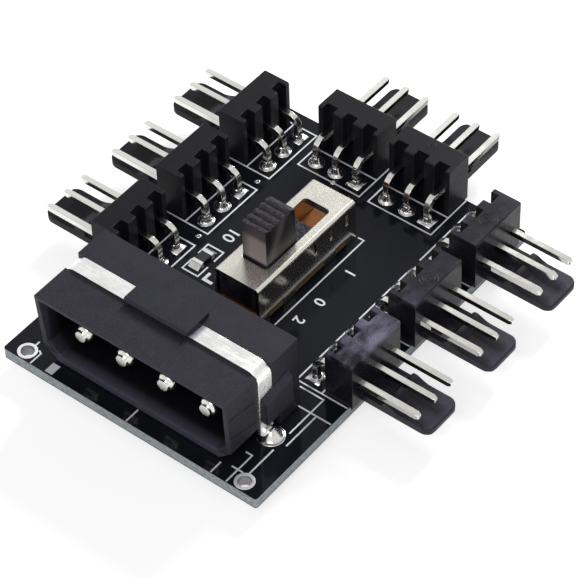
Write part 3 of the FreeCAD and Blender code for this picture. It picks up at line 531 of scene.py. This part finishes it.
def phenolic_finish(look):
    """Brown paper laminate with fibres along the board and paler cut sides."""
    f = Finish("brown laminate", look.phenolic_colour, 0.5, specular=0.15)
    fibres = f.grain(2.0, 5, 0.65, f.stretched(1.0, 0.25, 3.0))
    cut = f.ramp(fibres, 0.3, 0.7, (0.1, 0.075, 0.032), (0.23, 0.17, 0.08))
    f.set(Base_Color=f.mix(f.facing("X"), f.shades(fibres, look.phenolic_colour, 0.7), cut),
          Normal=f.relief(fibres, 0.015))
    return f.material


def contact_finish(look):
    """Silvered contact metal, tarnished in patches."""
    f = Finish("silvered contact", look.contact_colour, 0.28, 1.0)
    tarnish = f.grain(1.5, 4)
    f.set(Base_Color=f.shades(tarnish, look.contact_colour, 0.7),
          Roughness=f.range(tarnish, 0.3, 0.7, 0.22, 0.4), Normal=f.relief(f.grain(3.0), 0.01))
    return f.material


def chip_finish(node, name, colour, cap_share, look):
    """Chip part: tinned caps at both ends of its length, glaze or resin between them."""
    low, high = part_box(node)
    middle, half = (low.y + high.y) / 2, (high.y - low.y) / 2
    f = Finish(name, colour, 0.3)
    away = f.math("ABSOLUTE", f.math("SUBTRACT", f.axis("Y"), middle))
    cap = f.range(away, half * cap_share - 0.01 * MM, half * cap_share + 0.01 * MM)
    body = f.shades(f.grain(3.0), colour, 0.8)
    f.set(Base_Color=f.mix(cap, body, tuple(look.solder_colour)), Metallic=cap,
          Normal=f.relief(f.grain(5.0), 0.02))
    return f.material


# User settings

class FHUB_PG_look(bpy.types.PropertyGroup):
    """Colours of the hub's finishes"""
    mask_colour: FloatVectorProperty(
        name="Mask", description="Solder mask on both faces of the board", subtype="COLOR",
        default=(0.0115, 0.0125, 0.0175))
    fibre_colour: FloatVectorProperty(
        name="Glass fibre", description="Cut edge of the board", subtype="COLOR", default=(0.72, 0.79, 0.83))
    print_colour: FloatVectorProperty(
        name="Print", description="White print on the board", subtype="COLOR", default=(0.93, 0.95, 1.0))
    solder_colour: FloatVectorProperty(
        name="Solder", description="Solder joints and tinned rings", subtype="COLOR",
        default=(0.8, 0.79, 0.78))
    tin_colour: FloatVectorProperty(
        name="Tin", description="Tinned pins", subtype="COLOR", default=(0.8, 0.785, 0.745))
    strap_colour: FloatVectorProperty(
        name="Strap", description="Dipped strap of the power socket", subtype="COLOR",
        default=(0.98, 0.985, 0.965))
    nickel_colour: FloatVectorProperty(
        name="Nickel", description="Switch cover", subtype="COLOR", default=(0.76, 0.735, 0.67))
    nylon_colour: FloatVectorProperty(
        name="Black nylon", description="Left and back fan headers", subtype="COLOR",
        default=(0.009, 0.0092, 0.012))
    smoky_colour: FloatVectorProperty(
        name="Smoky nylon", description="Right fan headers", subtype="COLOR", default=(0.018, 0.0165, 0.025))
    # Colour of the painted sheen on top of the right fan headers.
    sheen_colour: FloatVectorProperty(
        name="Sheen", description="Pale bloom on top of the right fan headers", subtype="COLOR",
        default=(0.2, 0.19, 0.275))
    socket_colour: FloatVectorProperty(
        name="Socket nylon", description="Power socket housing", subtype="COLOR",
        default=(0.028, 0.027, 0.039))
    knob_colour: FloatVectorProperty(
        name="Knob", description="Switch slider and knob", subtype="COLOR", default=(0.032, 0.03, 0.038))
    phenolic_colour: FloatVectorProperty(
        name="Laminate", description="Switch terminal board", subtype="COLOR", default=(0.36, 0.13, 0.03))
    contact_colour: FloatVectorProperty(
        name="Contacts", description="Switch contacts", subtype="COLOR", default=(0.82, 0.74, 0.55))


class FHUB_PG_print(bpy.types.PropertyGroup):
    """Sizes of the board print"""
    line_width: FloatProperty(
        name="Line width", description="Width of a printed line", unit="LENGTH",
        default=0.17 * MM, min=0.05 * MM)
    thickness: FloatProperty(
        name="Ink thickness", description="Height of the print over the board", unit="LENGTH",
        default=0.02 * MM, min=0.005 * MM)
    numeral_height: FloatProperty(
        name="Numeral height", description="Height of the numbers at the switch's places", unit="LENGTH",
        default=1.25 * MM, min=0.3 * MM)


class FHUB_PG_solder(bpy.types.PropertyGroup):
    """Sizes of the solder joints"""
    pin_foot: FloatProperty(
        name="Pin joint foot", description="Radius of a fan header pin's joint on its pad", unit="LENGTH",
        default=0.93 * MM, min=0.4 * MM)
    pin_height: FloatProperty(
        name="Pin joint height", description="Height of a fan header pin's joint", unit="LENGTH",
        default=0.85 * MM, min=0.2 * MM)
    square_pad: FloatProperty(
        name="Square pad", description="Half the side of the first pin's pad", unit="LENGTH",
        default=0.84 * MM, min=0.4 * MM)
    tail_depth: FloatProperty(
        name="Joint below", description="Depth of the joints under the board", unit="LENGTH",
        default=0.62 * MM, min=0.2 * MM)
    seed: IntProperty(name="Seed", description="Which small unevenness the joints have", default=7)


class FHUB_PG_edges(bpy.types.PropertyGroup):
    """Edge rounding of the moulded and pressed pieces"""
    header: FloatProperty(
        name="Header edges", description="Rounding of the fan headers", unit="LENGTH",
        default=0.09 * MM, min=0.01 * MM)
    socket: FloatProperty(
        name="Socket edges", description="Rounding of the power socket", unit="LENGTH",
        default=0.09 * MM, min=0.01 * MM)
    wire: FloatProperty(
        name="Wire edges", description="Rounding of the square pins", unit="LENGTH",
        default=0.05 * MM, min=0.01 * MM)
    sheet: FloatProperty(
        name="Sheet edges", description="Rounding of the strap and switch cover", unit="LENGTH",
        default=0.06 * MM, min=0.01 * MM)


class FHUB_PG_stage(bpy.types.PropertyGroup):
    """Camera and light"""
    lens: FloatProperty(
        name="Lens", description="Focal length of the camera", unit="CAMERA", default=174.99, min=10)
    camera_place: FloatVectorProperty(
        name="Camera place", description="Where the camera stands", subtype="XYZ", unit="LENGTH",
        default=(0.12238, -0.12337, 0.20141))
    camera_turn: FloatVectorProperty(
        name="Camera turn", description="How the camera is turned", subtype="EULER", unit="ROTATION",
        default=(math.radians(43.3069), math.radians(1.4236), math.radians(38.3027)))
    floor_size: FloatProperty(
        name="Floor size", description="Side of the floor", unit="LENGTH", default=3.0, min=0.2)
    sky: FloatProperty(name="Sky", description="Strength of the even room light", default=0.28, min=0)
    key: FloatProperty(
        name="Key lamp", description="Power of the lamp over the far side", unit="POWER", default=3.6, min=0)
    fill: FloatProperty(
        name="Fill lamp", description="Power of the lamp over the near side", unit="POWER",
        default=0.85, min=0)


class Maker:
    """Shared by the operators: an undoable step of the hub's making."""
    bl_options = {"REGISTER", "UNDO"}


# Operators, one for each group of pieces, with the makers and measures that only they use

class FHUB_OT_board(Maker, bpy.types.Operator):
    """Give the board its mask, cut edge and plated corner holes"""
    bl_idname = "fhub.board"
    bl_label = "Finish Board"

    def execute(self, context):
        look = context.scene.fhub_look
        dress("circuit_board", board_finish(look))
        moulded("corner_hole_plating", "corner_hole_rings", plated_finish(look), 0.03 * MM)
        return {"FINISHED"}


# Print, in millimetres. A header's paths are measured from its middle pad, with +X off the board
HEADER_PATHS = [[(4.6, -3.93), (-1.35, -3.93), (-1.35, 3.93), (4.6, 3.93)], [(1.62, -3.93), (1.62, 3.93)]]
PRINT_PATHS = [
    [(12.07, -0.95), (12.07, 2.84), (11.4, 2.84)],
    [(11.42, 0.73), (12.61, 0.73)],
    [(13.21, 1.02), (13.21, 4.5)],
    [(10.22, -0.95), (10.22, 0.41)],
    [(-0.06, -0.95), (-0.06, 0.62)],
    [(13.17, 7.12), (13.17, 12.24), (10.37, 12.24)],
    [(13.88, 5.72), (13.88, 10.22)],
    [(11.15, 10.23), (15.5, 10.23)],
    [(-12.17, -0.95), (-12.17, 0.5), (-12.5, 0.68)],
    [(-13.3, 1.0), (-13.3, 1.5)],
    [(-13.2, 7.12), (-13.2, 12.24), (-10.4, 12.24)],
    [(-11.15, 10.23), (-15.5, 10.23)],
    [(3.47, 17.1), (3.47, 31.25), (2.85, 31.25)],
    [(-3.6, 17.1), (-3.6, 31.25), (-3.0, 31.25)],
    [(-8.62, 19.0), (-8.62, 17.5), (-6.63, 17.5), (-6.63, 19.0)],
    [(-8.62, 20.1), (-8.62, 21.54), (-6.63, 21.54), (-6.63, 20.1)],
]
BOLD_LINES = [([(-5.92, 17.57), (-5.92, 18.42)], 0.34), ([(-5.56, 17.58), (-5.04, 17.58)], 0.36),
              ([(-9.97, -0.45), (-9.97, -0.1)], 0.92)]
# Number, middle and share of the numbers' height, then the font's size and swell as shares of it
PRINT_NUMERALS = [("1", (5.05, 26.9), 1.0), ("0", (5.05, 22.0), 1.0), ("2", (4.9, 18.9), 1.0),
                  ("10", (-7.6, 23.9), 1.1)]
FONT_SIZE = 1.35
FONT_SWELL = 0.02
VIAS = [(-10.27, 31.47), (-10.13, 21.87), (-4.02, 35.94)]
VIA_PROFILE = [(0, -0.005), (0.3, -0.005), (0.29, 0.03), (0.17, 0.05), (0.1, 0.02), (0, 0.015)]


def print_path(bm, points, width, high):
    """Printed line; parts across the board are a hair thicker, so that crossing tops never share a plane."""
    for start, end in zip(points, points[1:]):
        across = abs(end[0] - start[0]) > abs(end[1] - start[1])
        bar(bm, start, end, width, TOP - 0.005 * MM, high + (0.001 * MM if across else 0.0))


def numeral_mesh(text, place, height, thickness, scale):
    """Mesh of a plain number that reads towards the power socket."""
    curve = bpy.data.curves.new("numeral", "FONT")
    curve.body = text
    curve.align_x, curve.align_y = "CENTER", "CENTER"
    curve.size = height * FONT_SIZE * scale
    curve.extrude = thickness / 2
    curve.offset = height * FONT_SWELL
    holder = bpy.data.objects.new("numeral", curve)
    bpy.context.scene.collection.objects.link(holder)
    bpy.context.view_layer.update()
    mesh = bpy.data.meshes.new_from_object(holder.evaluated_get(bpy.context.evaluated_depsgraph_get()))
    bpy.data.objects.remove(holder)
    bpy.data.curves.remove(curve)
    spot = Matrix.Translation((place[0] * MM, place[1] * MM, TOP + thickness / 2))
    mesh.transform(spot @ Matrix.Rotation(math.radians(-90), 4, "Z"))
    return mesh


class FHUB_OT_print(Maker, bpy.types.Operator):
    """Print the outlines, marks and numbers on the board"""
    bl_idname = "fhub.print"
    bl_label = "Print Board"

    def execute(self, context):
        look, sizes = context.scene.fhub_look, context.scene.fhub_print
        white = print_finish(look)
        top = TOP + sizes.thickness
        bm = bmesh.new()
        for header in HEADERS:
            foot, turn = pin_foot(header, 2), off_board(header)
            for path in HEADER_PATHS:
                points = [(foot + turn @ Vector((x, y, 0))).xy for x, y in in_metres(path)]
                print_path(bm, points, sizes.line_width, top)
        for path in PRINT_PATHS:
            print_path(bm, in_metres(path), sizes.line_width, top)
        for path, width in BOLD_LINES:
            print_path(bm, in_metres(path), width * MM, top)
        settle(mesh_object("board_print_lines", bm, white, smooth=False))

        bm = bmesh.new()
        for text, place, scale in PRINT_NUMERALS:
            bm.from_mesh(numeral_mesh(text, place, sizes.numeral_height, sizes.thickness, scale))
        settle(mesh_object("board_print_numbers", bm, white, smooth=False))

        bm = bmesh.new()
        for x, y in in_metres(VIAS):
            lathe(bm, Vector((x, y, TOP)), in_metres(VIA_PROFILE), 20)
        settle(mesh_object("board_through_vias", bm, solder_finish(look)))
        return {"FINISHED"}


# Solder: pads, necks and height of the joints that have no setting, and the dome over a strap's foot
PIN_NECK, PIN_NECK_BELOW = 0.42 * MM, 0.4 * MM
ROUND_PAD, ROUND_NECK, ROUND_NECK_BELOW, ROUND_RISE = 1.28 * MM, 0.78 * MM, 0.74 * MM, 0.65 * MM
STRAP_PAD, STRAP_NECK_BELOW = 1.38 * MM, 0.8 * MM
TERMINAL_PAD, TERMINAL_NECK = 0.84 * MM, 0.48 * MM
STRAP_DOME = [(0, -0.01), (1.4, -0.01), (1.4, 0.06), (1.37, 0.11), (1.3, 0.13), (1.22, 0.12), (1.1, 0.17),
              (0.98, 0.28), (0.85, 0.46), (0.68, 0.68), (0.46, 0.9), (0.22, 1.03), (0, 1.07)]


class FHUB_OT_solder(Maker, bpy.types.Operator):
    """Flow the solder joints above and below the board"""
    bl_idname = "fhub.solder"
    bl_label = "Flow Solder"

    def execute(self, context):
        look, sizes = context.scene.fhub_look, context.scene.fhub_solder
        shiny = solder_finish(look)
        chance = random.Random(sizes.seed)

        def joint(bm, spot, foot, neck, height, up=1):
            """Hollow-sided cone from its rim on the pad up to the neck on the wire."""
            tall = height * chance.uniform(0.9, 1.1)
            waist = neck + (foot - neck) * chance.uniform(0.2, 0.28)
            rings = [(0, -0.01 * MM), (foot, -0.01 * MM), (foot, 0.06 * MM), (foot - 0.03 * MM, 0.1 * MM),
                     (foot - 0.09 * MM, 0.11 * MM), (foot - 0.16 * MM, 0.08 * MM),
                     (waist + 0.22 * MM, 0.09 * MM), (waist + 0.1 * MM, 0.14 * tall), (waist, 0.26 * tall),
                     (neck + 0.05 * MM, 0.5 * tall), (neck, 0.8 * tall), (neck - 0.04 * MM, tall),
                     (0, 1.02 * tall)]
            lathe(bm, spot, [(r, up * z) for r, z in rings])

        def joint_below(bm, x, y, foot, neck):
            """Joint round a tail under the board."""
            joint(bm, Vector((x, y, BOARD_LOW.z)), foot, neck, sizes.tail_depth, -1)

        bm = bmesh.new()
        for header in HEADERS:
            for number in (1, 2, 3):
                spot = pin_foot(header, number)
                joint_below(bm, spot.x, spot.y, sizes.pin_foot, PIN_NECK_BELOW)
                if number > 1:
                    joint(bm, spot, sizes.pin_foot, PIN_NECK, sizes.pin_height)
                    continue
                face = blank(bm, sizes.square_pad, sizes.square_pad, spot - Vector((0, 0, 0.01 * MM)))
                face = draw_out(bm, face, (0, 0, 0.05 * MM))
                face = draw_out(bm, face, (0, 0, 0.05 * MM), (0.94, 0.94, 1))
                draw_out(bm, face, (0, 0, 0.12 * MM), (0.62, 0.62, 1))
                rise = Vector((0, 0, 0.08 * MM))
                joint(bm, spot + rise, sizes.square_pad * 0.66, PIN_NECK, sizes.pin_height * 0.7)
        settle(mesh_object("fan_header_solder", bm, shiny), replaces="header_solder_joints")

        bm = bmesh.new()
        for number in (1, 2, 3, 4):
            low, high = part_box("power_pin_%d" % number)
            spot = Vector(((low.x + high.x) / 2, high.y - TAIL_WIDTH / 2, TOP))
            joint(bm, spot, ROUND_PAD, ROUND_NECK, ROUND_RISE)
            joint_below(bm, spot.x, spot.y, ROUND_PAD, ROUND_NECK_BELOW)
        low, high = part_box("power_socket_strap")
        for x, side in ((low.x, -1), (high.x, 1)):
            spot = Vector((x + side * 0.27 * MM, (low.y + high.y) / 2 + 0.2 * MM, TOP))
            lathe(bm, spot, in_metres(STRAP_DOME))
            joint_below(bm, spot.x, spot.y, STRAP_PAD, STRAP_NECK_BELOW)
        settle(mesh_object("power_socket_solder", bm, shiny), replaces="power_solder_joints")

        bm = bmesh.new()
        for number in range(1, 9):
            low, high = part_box("switch_terminal_%d" % number)
            joint_below(bm, (low.x + high.x) / 2, (low.y + high.y) / 2, TERMINAL_PAD, TERMINAL_NECK)
        settle(mesh_object("switch_solder", bm, shiny), replaces="switch_solder_joints")
        dress("chip_solder_joints", shiny)
        return {"FINISHED"}


# Gate marks on the header tops, in millimetres: places, rings (radius, shift) and profiles of ring and dot
GATE_MARKS = [("fan_header_right_1", 14.89, 16.6), ("fan_header_right_2", 14.94, 26.43),
              ("fan_header_right_3", 14.9, 36.3), ("fan_header_back_2", 4.3, 41.5)]
SMOKY_RINGS = [(0.3, 0.04), (0.62, -0.05), (0.9, 0.06)]
BLACK_RINGS = [(0.42, 0.03)]
RING_LINE = [(-0.06, -0.02), (-0.05, 0.004), (0, 0.022), (0.05, 0.004), (0.06, -0.02), (-0.06, -0.02)]
DOT_LINE = [(0, -0.02), (0.14, -0.02), (0.12, 0.02), (0, 0.03)]


class FHUB_OT_headers(Maker, bpy.types.Operator):
    """Mould the fan headers and bend their pins"""
    bl_idname = "fhub.headers"
    bl_label = "Mould Headers"

    def execute(self, context):
        look, edges = context.scene.fhub_look, context.scene.fhub_edges
        black = nylon_finish("black nylon", look.nylon_colour, 0.42, 0.12, 0.01, 1.25, 5.0, lit_sides)
        smoky = smoky_finish(look)
        across = wire_finish(look, "tinned wire across", (0.05, 1.0, 1.0))
        along = wire_finish(look, "tinned wire along", (1.0, 0.05, 1.0))
        low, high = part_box("fan_header_left_1_pin_1")
        width = min(high.x - low.x, high.y - low.y)
        reach = max(high.x - low.x, high.y - low.y) - width / 2
        kinds = {True: (smoky, "smoky_nylon"), False: (black, "black_nylon")}
        for header in HEADERS:
            nylon, slot = kinds["right" in header]
            moulded(header + "_housing", header + "_moulding", nylon, edges.header)
            for number in (1, 2, 3):
                bm = bmesh.new()
                square_wire(bm, width, reach, high.z - width / 2, low.z, PIN_BEND, PIN_TIP, PIN_TIP_WIDTH)
                foot = pin_foot(header, number)
                place = Matrix.Translation((foot.x, foot.y, 0)) @ off_board(header)
                bmesh.ops.transform(bm, matrix=place, verts=bm.verts)
                pin = mesh_object("%s_wire_%d" % (header, number), bm, along if "back" in header else across)
                soften(pin, edges.wire, angle=25, even=False)
                settle(pin, replaces="%s_pin_%d" % (header, number))
        for header, x, y in GATE_MARKS:
            nylon, slot = kinds["right" in header]
            bm = bmesh.new()
            centre = Vector((x * MM, y * MM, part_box(header + "_housing")[1].z))
            for radius, shift in in_metres(SMOKY_RINGS if nylon is smoky else BLACK_RINGS):
                ring = [(radius + r, z) for r, z in in_metres(RING_LINE)]
                lathe(bm, centre + Vector((shift, -shift, 0)), ring, 28)
            lathe(bm, centre, in_metres(DOT_LINE), 16)
            settle(mesh_object(header + "_gate_mark", bm, nylon))
        return {"FINISHED"}


def strap_strip(low, high):
    """Flat strip: up one leg, over the socket round two bends and down the other leg, narrow at both feet."""
    bm = bmesh.new()
    wide, middle = high.y - low.y, (low.y + high.y) / 2
    bend_level = high.z - STRAP_BEND
    face = blank(bm, STRAP_THICK / 2, STRAP_LEG / 2, (low.x + STRAP_THICK / 2, middle, low.z))
    face = draw_out(bm, face, (0, 0, STRAP_NECK - low.z))
    face = draw_out(bm, face, (0, 0, STRAP_SHOULDER - STRAP_NECK), (1, wide / STRAP_LEG, 1))
    face = draw_out(bm, face, (0, 0, bend_level - STRAP_SHOULDER))
    face = bend(bm, face, (low.x + STRAP_BEND, middle, bend_level), (0, 1, 0), 90, 12)
    face = draw_out(bm, face, (high.x - low.x - 2 * STRAP_BEND, 0, 0))
    face = bend(bm, face, (high.x - STRAP_BEND, middle, bend_level), (0, 1, 0), 90, 12)
    face = draw_out(bm, face, (0, 0, STRAP_SHOULDER - bend_level))
    face = draw_out(bm, face, (0, 0, STRAP_NECK - STRAP_SHOULDER), (1, STRAP_LEG / wide, 1))
    draw_out(bm, face, (0, 0, low.z - STRAP_NECK))
    return bm


def round_pin(low, high):
    """Bullet-nosed round pin along Y with its square tail turned down into the board."""
    bm = bmesh.new()
    radius = (high.x - low.x) / 2
    axis = Vector(((low.x + high.x) / 2, low.y, high.z - radius))
    nose = [(r / ROUND_RADIUS * radius, d * MM) for r, d in ROUND_NOSE]
    lathe(bm, axis, nose + [(radius, ROUND_LENGTH), (0, ROUND_LENGTH)], 48, (0, 1, 0))
    foot = high.y - TAIL_WIDTH / 2
    wire = bmesh.new()
    reach = foot - low.y - ROUND_LENGTH
    square_wire(wire, TAIL_WIDTH, reach, axis.z, low.z, TAIL_BEND, TAIL_TIP, TAIL_WIDTH * 0.98)
    turn = Matrix.Translation((axis.x, foot, 0)) @ Matrix.Rotation(math.radians(-90), 4, "Z")
    bmesh.ops.transform(wire, matrix=turn, verts=wire.verts)
    scratch = bpy.data.meshes.new("tail")
    wire.to_mesh(scratch)
    wire.free()
    bm.from_mesh(scratch)
    bpy.data.meshes.remove(scratch)
    return bm


# Raised mould lines of the power socket, in millimetres: on its top and, as Y and height, on its right wall
TOP_LINES = [((-4.2, 0.3), (-4.2, 4.4)), ((3.7, 0.3), (3.7, 4.4))]
WALL_LINES = [((0.66, 6.58), (3.84, 6.03)), ((0.6, 4.03), (4.31, 2.98))]
LINE_WIDTH, LINE_RISE, LINE_SINK = 0.06 * MM, 0.012 * MM, 0.02 * MM


class FHUB_OT_socket(Maker, bpy.types.Operator):
    """Mould the power socket, form its strap and fit its pins"""
    bl_idname = "fhub.socket"
    bl_label = "Build Power Socket"

    def execute(self, context):
        look, edges = context.scene.fhub_look, context.scene.fhub_edges
        shell = nylon_finish("socket nylon", look.socket_colour, 0.45, 0.16, 0.03, 2.0, 2.0, mouth_shade)
        moulded("power_socket_housing", "power_socket_moulding", shell, edges.socket)
        strip = strap_strip(*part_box("power_socket_strap"))
        strap = mesh_object("power_socket_tinned_strap", strip, strap_finish(look))
        soften(strap, edges.sheet, even=False)
        settle(strap, replaces="power_socket_strap")
        tin = wire_finish(look, "rolled tin", (1.0, 0.1, 1.0))
        for number in (1, 2, 3, 4):
            pin = mesh_object("power_round_pin_%d" % number, round_pin(*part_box("power_pin_%d" % number)), tin)
            for face in pin.data.polygons:
                face.use_smooth = abs(face.normal.y) < 0.99
            settle(pin, replaces="power_pin_%d" % number)

        lines = mould_line_finish(look)
        bm = bmesh.new()
        for start, end in map(in_metres, WALL_LINES):
            bar(bm, start, end, LINE_WIDTH, -LINE_SINK, LINE_RISE)
        wall = Matrix(((0, 0, 1, SOCKET_SIDE), (1, 0, 0, 0), (0, 1, 0, TOP), (0, 0, 0, 1)))
        bmesh.ops.transform(bm, matrix=wall, verts=bm.verts)
        settle(mesh_object("power_socket_wall_lines", bm, lines, smooth=False))
        bm = bmesh.new()
        for start, end in map(in_metres, TOP_LINES):
            bar(bm, start, end, LINE_WIDTH, SOCKET_TOP - LINE_SINK, SOCKET_TOP + LINE_RISE)
        settle(mesh_object("power_socket_mould_lines", bm, lines, smooth=False))
        return {"FINISHED"}


class FHUB_OT_switch(Maker, bpy.types.Operator):
    """Press the switch cover and fit its slider, terminal board and contacts"""
    bl_idname = "fhub.switch"
    bl_label = "Build Switch"

    def execute(self, context):
        look, edges = context.scene.fhub_look, context.scene.fhub_edges
        moulded("switch_frame", "switch_cover", nickel_finish(look), edges.sheet)
        moulded("switch_slider", "switch_knob", knob_finish(look), 0.05 * MM, SLIDER)
        dress("switch_base", phenolic_finish(look))
        contact = contact_finish(look)
        terminals = ["switch_terminal_%d" % i for i in range(1, 9)]
        for node in terminals + ["switch_contact_clip_1", "switch_contact_clip_2"]:
            dress(node, contact)
        return {"FINISHED"}


class FHUB_OT_chips(Maker, bpy.types.Operator):
    """Finish the chip parts beside the switch"""
    bl_idname = "fhub.chips"
    bl_label = "Finish Chips"

    def execute(self, context):
        look = context.scene.fhub_look
        dress("chip_resistor", chip_finish("chip_resistor", "glazed chip", (0.012, 0.012, 0.014), 0.6, look))
        dress("chip_led", chip_finish("chip_led", "clear chip lamp", (0.75, 0.74, 0.62), 0.8, look))
        return {"FINISHED"}


# Name, place and side of the lamps, and the spot that they shine on
LAMPS = (("key", (-0.1, 0.584, 0.4), 0.2), ("fill", (0.17, -0.32, 0.46), 0.3))
LAMP_TARGET = (0, 0.02, 0.003)


def area_lamp(name, place, size, power):
    """Square lamp that shines on the hub."""
    lamp = bpy.data.lights.new(name, "AREA")
    lamp.shape = "SQUARE"
    lamp.size = size
    lamp.energy = power
    holder = bpy.data.objects.new(name, lamp)
    holder.location = place
    holder.rotation_euler = (Vector(LAMP_TARGET) - Vector(place)).to_track_quat("-Z", "Y").to_euler()
    bpy.context.scene.collection.objects.link(holder)


def seen_plainly(tree):
    """1 for the camera, in reflections and through clear pieces, 0 where light only bounces."""
    rays = tree.nodes.new("ShaderNodeLightPath").outputs
    shown = rays["Is Camera Ray"]
    for kind in ("Is Glossy Ray", "Is Transmission Ray"):
        shown = add_node(tree, "ShaderNodeMath", {0: shown, 1: rays[kind]}, operation="MAXIMUM").outputs[0]
    return shown


def floor_finish():
    """White floor: plainly lit, and lifted to white for the camera and in reflections."""
    material = bpy.data.materials.new("white floor")
    material.use_nodes = True
    tree = material.node_tree
    tree.nodes.clear()
    lift = add_node(tree, "ShaderNodeMath", {0: seen_plainly(tree), 1: 0.7}, operation="MULTIPLY")
    glow = add_node(tree, "ShaderNodeEmission", {"Color": (1, 1, 1, 1), "Strength": lift.outputs[0]})
    plain = add_node(tree, "ShaderNodeBsdfDiffuse", {"Color": (0.65, 0.65, 0.65, 1)})
    both = add_node(tree, "ShaderNodeAddShader", {0: glow.outputs[0], 1: plain.outputs[0]})
    add_node(tree, "ShaderNodeOutputMaterial", {"Surface": both.outputs[0]})
    return material


def room_light(strength):
    """Even soft room light, white for the camera and in reflections, with a slightly dimmer ceiling."""
    world = bpy.data.worlds.new("studio")
    world.use_nodes = True
    tree = world.node_tree
    tree.nodes.clear()
    shown = seen_plainly(tree)
    power = add_node(tree, "ShaderNodeMapRange", {"Value": shown, "To Min": strength, "To Max": 1.0})
    aim = tree.nodes.new("ShaderNodeTexCoord").outputs["Generated"]
    height = add_node(tree, "ShaderNodeSeparateXYZ", {"Vector": aim}).outputs["Z"]
    shade = add_node(tree, "ShaderNodeMapRange", {
        "Value": height, "From Min": 0.2, "From Max": 0.8, "To Min": 1.0, "To Max": 0.72})
    sky = add_node(tree, "ShaderNodeBackground", {"Color": shade.outputs[0], "Strength": power.outputs[0]})
    add_node(tree, "ShaderNodeOutputWorld", {"Surface": sky.outputs[0]})
    bpy.context.scene.world = world


class FHUB_OT_stage(Maker, bpy.types.Operator):
    """Set up the floor, the lamps and the camera"""
    bl_idname = "fhub.stage"
    bl_label = "Set Stage"

    def execute(self, context):
        stage = context.scene.fhub_stage
        bm = bmesh.new()
        bmesh.ops.create_grid(bm, x_segments=1, y_segments=1, size=stage.floor_size / 2)
        bmesh.ops.translate(bm, vec=(0, 0, CAD_BOX[0][2]), verts=bm.verts)
        floor = mesh_object("floor", bm, floor_finish(), smooth=False)
        for name, place, size in LAMPS:
            area_lamp(name + " lamp", place, size, getattr(stage, name))
        room_light(stage.sky)

        camera = bpy.data.cameras.new("camera")
        camera.lens = stage.lens
        camera.sensor_width = 36
        camera.clip_start = 0.01
        holder = bpy.data.objects.new("camera", camera)
        holder.location = stage.camera_place
        holder.rotation_euler = stage.camera_turn
        context.scene.collection.objects.link(holder)
        context.scene.camera = holder
        context.scene.view_settings.view_transform = "Standard"
        return {"FINISHED"}


class FHUB_PT_panel(bpy.types.Panel):
    """Sidebar panel of the hub's makers"""
    bl_idname = "FHUB_PT_panel"
    bl_label = "Fan Controller Hub"
    bl_space_type = "VIEW_3D"
    bl_region_type = "UI"
    bl_category = "Fan Hub"

    def draw(self, context):
        layout = self.layout
        for name in SETTINGS:
            group = getattr(context.scene, name)
            box = layout.box()
            box.label(text=group.bl_rna.description)
            for key in group.__annotations__:
                box.prop(group, key)
        for maker in MAKERS:
            layout.operator(maker.bl_idname)


SETTINGS = {
    "fhub_look": FHUB_PG_look,
    "fhub_print": FHUB_PG_print,
    "fhub_solder": FHUB_PG_solder,
    "fhub_edges": FHUB_PG_edges,
    "fhub_stage": FHUB_PG_stage,
}
MAKERS = (FHUB_OT_board, FHUB_OT_print, FHUB_OT_solder, FHUB_OT_headers, FHUB_OT_socket, FHUB_OT_switch,
          FHUB_OT_chips, FHUB_OT_stage)
CLASSES = (*SETTINGS.values(), *MAKERS, FHUB_PT_panel)


def register():
    for cls in CLASSES:
        bpy.utils.register_class(cls)
    for name, group in SETTINGS.items():
        setattr(bpy.types.Scene, name, PointerProperty(type=group))


def unregister():
    for name in SETTINGS:
        delattr(bpy.types.Scene, name)
    for cls in reversed(CLASSES):
        bpy.utils.unregister_class(cls)


def main():
    register()
    bpy.ops.fhub.board()
    bpy.ops.fhub.print()
    bpy.ops.fhub.solder()
    bpy.ops.fhub.headers()
    bpy.ops.fhub.socket()
    bpy.ops.fhub.switch()
    bpy.ops.fhub.chips()
    bpy.ops.fhub.stage()


if __name__ == "__main__":
    main()
